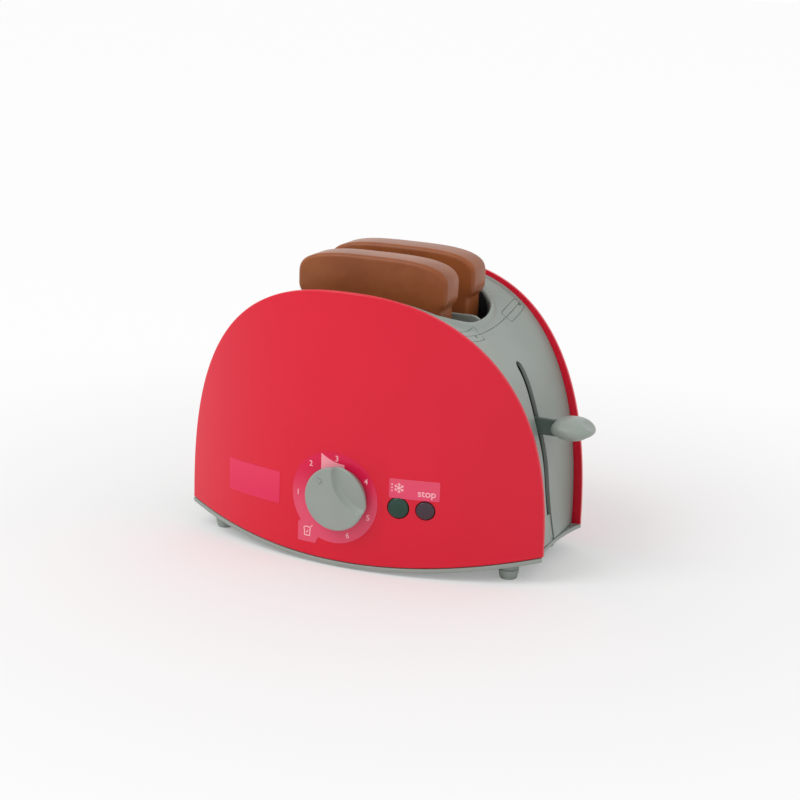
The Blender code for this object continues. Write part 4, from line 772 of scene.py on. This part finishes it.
def push_button(name, node, body, x, z, radius, flange, tail, surface, slot):
    face = -bow(x) / MM - 0.8
    r = radius / MM
    profile = ((0, face - 0.3), (r * 0.35, face - 0.28), (r * 0.65, face - 0.18), (r - 0.9, face - 0.02),
               (r - 0.5, face + 0.07), (r - 0.2, face + 0.28), (r - 0.04, face + 0.6), (r, face + 1.0), (r, flange),
               (r + 0.9, flange), (r + 0.9, flange + 1.0), (1.6, flange + 1.0), (1.6, tail - 0.8), (1.3, tail - 0.4),
               (0.7, tail - 0.12), (0, tail - 0.08))
    shape = lathe(profile, (x, 0, z), (0, 1, 0), 72)
    for vert in shape.verts:
        if vert.co.y < (face + 1.5) * MM:
            vert.co.y -= bow(vert.co.x) - bow(x)
    settle(shape, name, surface, body, node, slot=slot)


push_button("button_defrost", "defrost_button", "defrost", defrost_x, defrost_z, defrost_radius, -46.2, -41.74,
            green_abs, "green_plastic")
push_button("button_stop", "stop_button", "stop", stop_x, stop_z, stop_radius, -43.25, -39.38,
            plum_abs, "plum_plastic")
button_springs = (
    ("defrost_spring", "defrost_press", 29.5, -44.84, -40.04, 34.5, 0.67),
    ("stop_spring", "stop_press", 43.35, -37.18, -32.08, 34.4, 0.6),
)
for name, joint, x, start, end, z, keep in button_springs:
    place = Vector((x, start + 0.35, z)) * MM
    spring = wound_wire(place, (0, 1, 0), (end - start - 0.7) * MM, 2.5 * MM, wire_half, 5)
    spring = settle(spring, name.replace("spring", "wound_spring"), spring_steel, "shell", name, slot="steel")
    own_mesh(spring)

# Latch: a dark hook behind the stop button, moulded in acetal and hung on a steel pin. It holds the
# carriage's rail down until the button is pressed.
# Black acetal: dark, with a low sheen
latch_acetal = moulded_plastic("latch_black_acetal", "#2b2f31", "#24282a", 0.42, 0.4, 0.8 * MM, 0.02 * MM, 10 * MM)
wear(latch_acetal, "latch_hook")
wear(spring_steel, "latch_pin")

# Films: thin clear-pink printed polyester labels stuck on the front panel. The dial ring carries plain numbers
# and a tab with a slice, the button label a snow star and the word stop, and the oblong one is left bare.
dial_x, dial_z, dial_inner, dial_outer = -3.4 * MM, 35.0 * MM, 12.0, 22.8
film_lift, film_thickness, print_lift = 0.14 * MM, 0.11 * MM, 0.15 * MM


def film_with_painted_reflection(name, upper, lower, low, high):
    """Glossy tinted film whose tone grows lighter towards its lower edge as a painted reflection, with a faint 2 mm
    adhesive mottle.
    """
    made = bpy.data.materials.new(name)
    made.use_nodes = True
    tree = made.node_tree
    shader = tree.nodes["Principled BSDF"]
    shader.inputs["Roughness"].default_value = 0.18
    shader.inputs["Specular IOR Level"].default_value = 0.25
    place = add_node(tree, "ShaderNodeTexCoord").outputs["Object"]
    height = add_node(tree, "ShaderNodeSeparateXYZ", {0: place})
    # Painted reflection: the tone shifts with height, towards the lower colour at the film's lower edge.
    painted_reflection_fade = add_node(tree, "ShaderNodeMapRange", {0: height.outputs[2], 1: low, 2: high},
                    interpolation_type="SMOOTHSTEP")
    mottle = add_node(tree, "ShaderNodeTexNoise", {"Vector": place, "Scale": 1 / (2 * MM), "Detail": 2.0})
    mixed = add_node(tree, "ShaderNodeMath", {0: mottle.outputs[0], 1: 0.12, 2: painted_reflection_fade.outputs[0]},
                     operation="MULTIPLY_ADD", use_clamp=True)
    mix = add_node(tree, "ShaderNodeMix", {0: mixed.outputs[0], 6: linear(lower), 7: linear(upper)}, data_type="RGBA")
    tree.links.new(mix.outputs[2], shader.inputs["Base Color"])
    bump = add_node(tree, "ShaderNodeBump", {"Height": mottle.outputs[0], "Strength": 0.2, "Distance": 0.01 * MM})
    tree.links.new(bump.outputs[0], shader.inputs["Normal"])
    return made


def lay_on_panel(shape, name, surface, lift, thickness=None):
    """Bend a flat shape, drawn upright in XZ, on to the bowed panel; a thickness makes a sheet solid."""
    if thickness:
        for station in range(-70, 54, 2):
            slit(shape, station * MM)
        thicken(shape, (0, thickness, 0))
        bmesh.ops.recalc_face_normals(shape, faces=shape.faces)
    for vert in shape.verts:
        vert.co.y -= bow(vert.co.x) + lift
    return settle(shape, name, surface, "shell", slot="red_plastic")


def oblong(low_x, high_x, low_z, high_z, corner):
    shape = bmesh.new()
    bmesh.ops.create_grid(shape, x_segments=1, y_segments=1, size=0.5)
    for vert in shape.verts:
        vert.co = (((low_x + high_x) / 2 + vert.co.x * (high_x - low_x)) * MM, 0,
                   ((low_z + high_z) / 2 + vert.co.y * (high_z - low_z)) * MM)
    bmesh.ops.bevel(shape, geom=shape.verts[:], offset=corner * MM, segments=4, profile=0.5, affect="VERTICES",
                    material=-1)
    return shape


def letters(shape, words, size, x, z):
    """Add generic words or digits, upright in XZ, to a bmesh."""
    curve = bpy.data.curves.new("letters", "FONT")
    curve.body, curve.size, curve.align_x, curve.align_y = words, size * MM, "CENTER", "CENTER"
    curve.extrude, curve.offset = 0.02 * MM, 0.035 * MM
    drawn = bpy.data.objects.new("letters", curve)
    bpy.context.scene.collection.objects.link(drawn)
    mesh = bpy.data.meshes.new_from_object(drawn.evaluated_get(bpy.context.evaluated_depsgraph_get()))
    bpy.data.objects.remove(drawn)
    known = len(shape.verts)
    shape.from_mesh(mesh)
    shape.verts.ensure_lookup_table()
    for vert in shape.verts[known:]:
        across, up, out = vert.co
        vert.co = (x + across, -out, z + up)


def stroke(shape, start, end, width):
    """Add one straight printed line to a bmesh, between two places given in mm."""
    start, end = Vector(start), Vector(end)
    along = end - start
    made = bmesh.ops.create_cube(shape, size=1.0)["verts"]
    turn = math.atan2(along.y, along.x)
    for vert in made:
        far, side, out = vert.co.x * along.length, vert.co.y * width, vert.co.z * 0.04
        middle = (start + end) / 2
        vert.co = ((middle.x + far * math.cos(turn) - side * math.sin(turn)) * MM, out * MM,
                   (middle.y + far * math.sin(turn) + side * math.cos(turn)) * MM)


def dial_edge(turn):
    """How far the dial film reaches at an angle: a circle, with a square tab at the lower left."""
    tab_left, tab_foot, tab_top, tab_right = 19.3, 24.8, 15.4, 9.2
    run, rise = math.cos(turn), math.sin(turn)
    corner = min(tab_left / max(-run, 1e-6), tab_foot / max(-rise, 1e-6))
    inside_tab = run < 0 and rise < 0 and -corner * rise > tab_top and -corner * run > tab_right
    return max(dial_outer, corner) if inside_tab else dial_outer


# Tinted polyester film: pinker and glossier than the panel below it, so each label reads as a stuck-on sheet; the
# dial's paler lower part is painted reflection.
# Screen ink: the paler pink of the numbers and words, flat and slightly matt. The wedge's light pink is no ink but a
# painted glint: light reflected off the dial, painted into its colour
dial_film = film_with_painted_reflection("dial_polyester_film", "#e01a4a", "#e65572", 24 * MM, 52 * MM)
label_film = film_with_painted_reflection("label_polyester_film", "#e84f6c", "#e84c70", 38 * MM, 50 * MM)
bare_film = film_with_painted_reflection("bare_polyester_film", "#e8365c", "#e42c58", 26 * MM, 44 * MM)
pale_ink = moulded_plastic("pale_pink_screen_ink", "#ffc4cc", "#fbb8c2", 0.5, 0.3, 0.5 * MM, 0.01 * MM, 3 * MM)
painted_glint = moulded_plastic("painted_glint_light_pink", "#ffa3b0", "#ff9dab", 0.35, 0.4, 0.5 * MM, 0.01 * MM, 3 * MM)

disc = bmesh.new()
reach_layer = disc.verts.layers.float.new("turn")
bmesh.ops.create_circle(disc, segments=360, radius=1.0)
for vert in disc.verts:
    vert[reach_layer] = math.atan2(vert.co.y, vert.co.x)
ring = disc.edges[:]
for share in (0.0, 0.35, 0.7, 1.0):
    if share:
        ring = next_ring(disc, ring)[0]
    for vert in {v for e in ring for v in e.verts}:
        turn = vert[reach_layer]
        away = (dial_inner + (dial_edge(turn) - dial_inner) * share) * MM
        vert.co = (dial_x + away * math.cos(turn), 0, dial_z + away * math.sin(turn))
lay_on_panel(disc, "film_dial_ring", dial_film, film_lift, film_thickness)

# The wedge is a painted glint: a pale patch standing in for light reflected on the dial film.
wedge_left, wedge_length, wedge_foot, wedge_low, wedge_rise = -7.0, 12.4, 13.5, 17.2, 4.2
wedge = bmesh.new()
bmesh.ops.create_grid(wedge, x_segments=16, y_segments=2, size=0.5)
for vert in wedge.verts:
    along, share = vert.co.x + 0.5, vert.co.y + 0.5
    lower, upper = wedge_foot * MM, (wedge_low + wedge_rise * (1 - along) ** 2) * MM
    vert.co = (dial_x + (wedge_left + wedge_length * along) * MM, 0, dial_z + lower + (upper - lower) * share)
lay_on_panel(wedge, "painted_glint_dial_wedge", painted_glint, film_lift + 0.03 * MM, 0.02 * MM)

digit_size, digit_radius = 3.9, 19.7 * MM
numbers = bmesh.new()
for digit, angle in zip("123456", (181.6, 130.0, 86.0, 31.8, -22.5, -66.3)):
    letters(numbers, digit, digit_size, dial_x + digit_radius * math.cos(math.radians(angle)),
            dial_z + digit_radius * math.sin(math.radians(angle)))
slice_x, slice_z = dial_x / MM - 14.1, dial_z / MM - 19.4
corners = [(-1.5, -2.2), (1.5, -2.2), (1.5, 0.6), (1.9, 1.2), (1.5, 2.0), (0.0, 2.3), (-1.5, 2.0), (-1.9, 1.2),
           (-1.5, 0.6)]
for start, end in zip(corners, corners[1:] + corners[:1]):
    stroke(numbers, (slice_x + start[0], slice_z + start[1]), (slice_x + end[0], slice_z + end[1]), 0.5)
for start, end in (((1.9, 2.3), (3.0, 3.4)), ((-0.5, -0.9), (0.5, 0.3))):
    stroke(numbers, (slice_x + start[0], slice_z + start[1]), (slice_x + end[0], slice_z + end[1]), 0.5)
lay_on_panel(numbers, "film_dial_numbers", pale_ink, print_lift)

lay_on_panel(oblong(24.9, 48.9, 39.3, 49.0, 0.7), "film_button_label", label_film, film_lift, film_thickness)
words = bmesh.new()
letters(words, "stop", 4.9, 42.9 * MM, 42.7 * MM)
star_x, star_z = 29.7, 44.5
for k in range(6):
    run, rise = math.cos(math.pi * k / 3 + math.pi / 6), math.sin(math.pi * k / 3 + math.pi / 6)
    stroke(words, (star_x, star_z), (star_x + 2.5 * run, star_z + 2.5 * rise), 0.45)
    for bend in (-1, 1):
        tip = math.pi * k / 3 + math.pi / 6 + bend * 0.9
        stroke(words, (star_x + 1.4 * run, star_z + 1.4 * rise),
               (star_x + 1.4 * run + 0.9 * math.cos(tip), star_z + 1.4 * rise + 0.9 * math.sin(tip)), 0.35)
for drop in (-1.6, 0.0, 1.6):
    stroke(words, (star_x - 3.4, star_z + drop - 0.35), (star_x - 3.4, star_z + drop + 0.35), 0.6)
lay_on_panel(words, "film_button_words", pale_ink, print_lift)

lay_on_panel(oblong(-67.0, -34.1, 26.1, 42.4, 0.8), "film_bare_badge", bare_film, film_lift, film_thickness)

# Studio: a pale painted floor that keeps the toaster's soft shadow, and grows whiter away from it; its glow is weaker
# near the toaster, which also greys the lit floor round it as painted shade. A white surround and two softboxes give
# soft, even light, and the camera stands where the photograph was taken.
floor_paint = bpy.data.materials.new("pale_floor")
floor_paint.use_nodes = True
tree = floor_paint.node_tree
tree.nodes.clear()
rays = add_node(tree, "ShaderNodeLightPath").outputs
seen = add_node(tree, "ShaderNodeMath", {0: rays["Is Camera Ray"], 1: rays["Is Glossy Ray"]}, operation="ADD")
place = add_node(tree, "ShaderNodeTexCoord").outputs["Object"]
away = add_node(tree, "ShaderNodeVectorMath", {0: place}, operation="LENGTH")
# Painted shade: the glow's share falls from 0.92 far away to 0.25 near the toaster, greying the floor round it.
clear = add_node(tree, "ShaderNodeMapRange", {0: away.outputs["Value"], 1: 0.08, 2: 0.45, 3: 0.25, 4: 0.92},
                 interpolation_type="SMOOTHSTEP")
share = add_node(tree, "ShaderNodeMath", {0: seen.outputs[0], 1: clear.outputs[0]}, operation="MULTIPLY")
matte = add_node(tree, "ShaderNodeBsdfDiffuse", {"Color": linear("#f4f4f4")})
glow = add_node(tree, "ShaderNodeEmission", {"Color": linear("#ffffff"), "Strength": 1.0})
both = add_node(tree, "ShaderNodeMixShader", {0: share.outputs[0], 1: matte.outputs[0], 2: glow.outputs[0]})
add_node(tree, "ShaderNodeOutputMaterial", {0: both.outputs[0]})
floor_shape = bmesh.new()
bmesh.ops.create_grid(floor_shape, x_segments=1, y_segments=1, size=6.0)
floor_mesh = bpy.data.meshes.new("floor")
floor_shape.to_mesh(floor_mesh)
floor_shape.free()
floor_mesh.materials.append(floor_paint)
floor = bpy.data.objects.new("floor", floor_mesh)
bpy.context.scene.collection.objects.link(floor)

world = bpy.data.worlds.new("studio")
bpy.context.scene.world = world
world.use_nodes = True
tree = world.node_tree
tree.nodes.clear()
rays = add_node(tree, "ShaderNodeLightPath").outputs
seen = add_node(tree, "ShaderNodeMath", {0: rays["Is Camera Ray"], 1: rays["Is Glossy Ray"]}, operation="ADD")
seen = add_node(tree, "ShaderNodeMath", {0: seen.outputs[0], 1: rays["Is Transmission Ray"]}, operation="ADD",
                use_clamp=True)
soft = add_node(tree, "ShaderNodeBackground", {"Color": linear("#ffffff"), "Strength": 0.72})
white = add_node(tree, "ShaderNodeBackground", {"Color": linear("#ffffff"), "Strength": 1.0})
both = add_node(tree, "ShaderNodeMixShader", {0: seen.outputs[0], 1: soft.outputs[0], 2: white.outputs[0]})
add_node(tree, "ShaderNodeOutputWorld", {0: both.outputs[0]})


def softbox(name, place, aim, size, power):
    lamp = bpy.data.lights.new(name, "AREA")
    lamp.shape = "SQUARE"
    lamp.size = size
    lamp.energy = power
    made = bpy.data.objects.new(name, lamp)
    made.location = place
    made.rotation_euler = (Vector(aim) - Vector(place)).to_track_quat("-Z", "Y").to_euler()
    bpy.context.scene.collection.objects.link(made)


softbox("key_softbox", (-0.9, -1.1, 1.6), (0, 0, 0.06), 1.2, 14)
softbox("fill_softbox", (1.3, 0.1, 1.1), (0, 0, 0.06), 1.0, 1.5)

camera_data = bpy.data.cameras.new("camera")
camera_data.lens = 83.25
camera_data.sensor_width = 36.0
camera = bpy.data.objects.new("camera", camera_data)
bpy.context.scene.collection.objects.link(camera)
camera_right = Vector((0.91327005, 0.40602484, 0.03288844))
camera_up = Vector((-0.13516734, 0.22588716, 0.96473042))
camera_back = Vector((0.38427544, -0.88550484, 0.26117727))
turn = Matrix((camera_right, camera_up, camera_back)).transposed()
camera.matrix_world = Matrix.Translation(Vector((354.367, -813.203, 313.183)) * MM) @ turn.to_4x4()
bpy.context.scene.camera = camera
bpy.context.scene.view_settings.view_transform = "Standard"
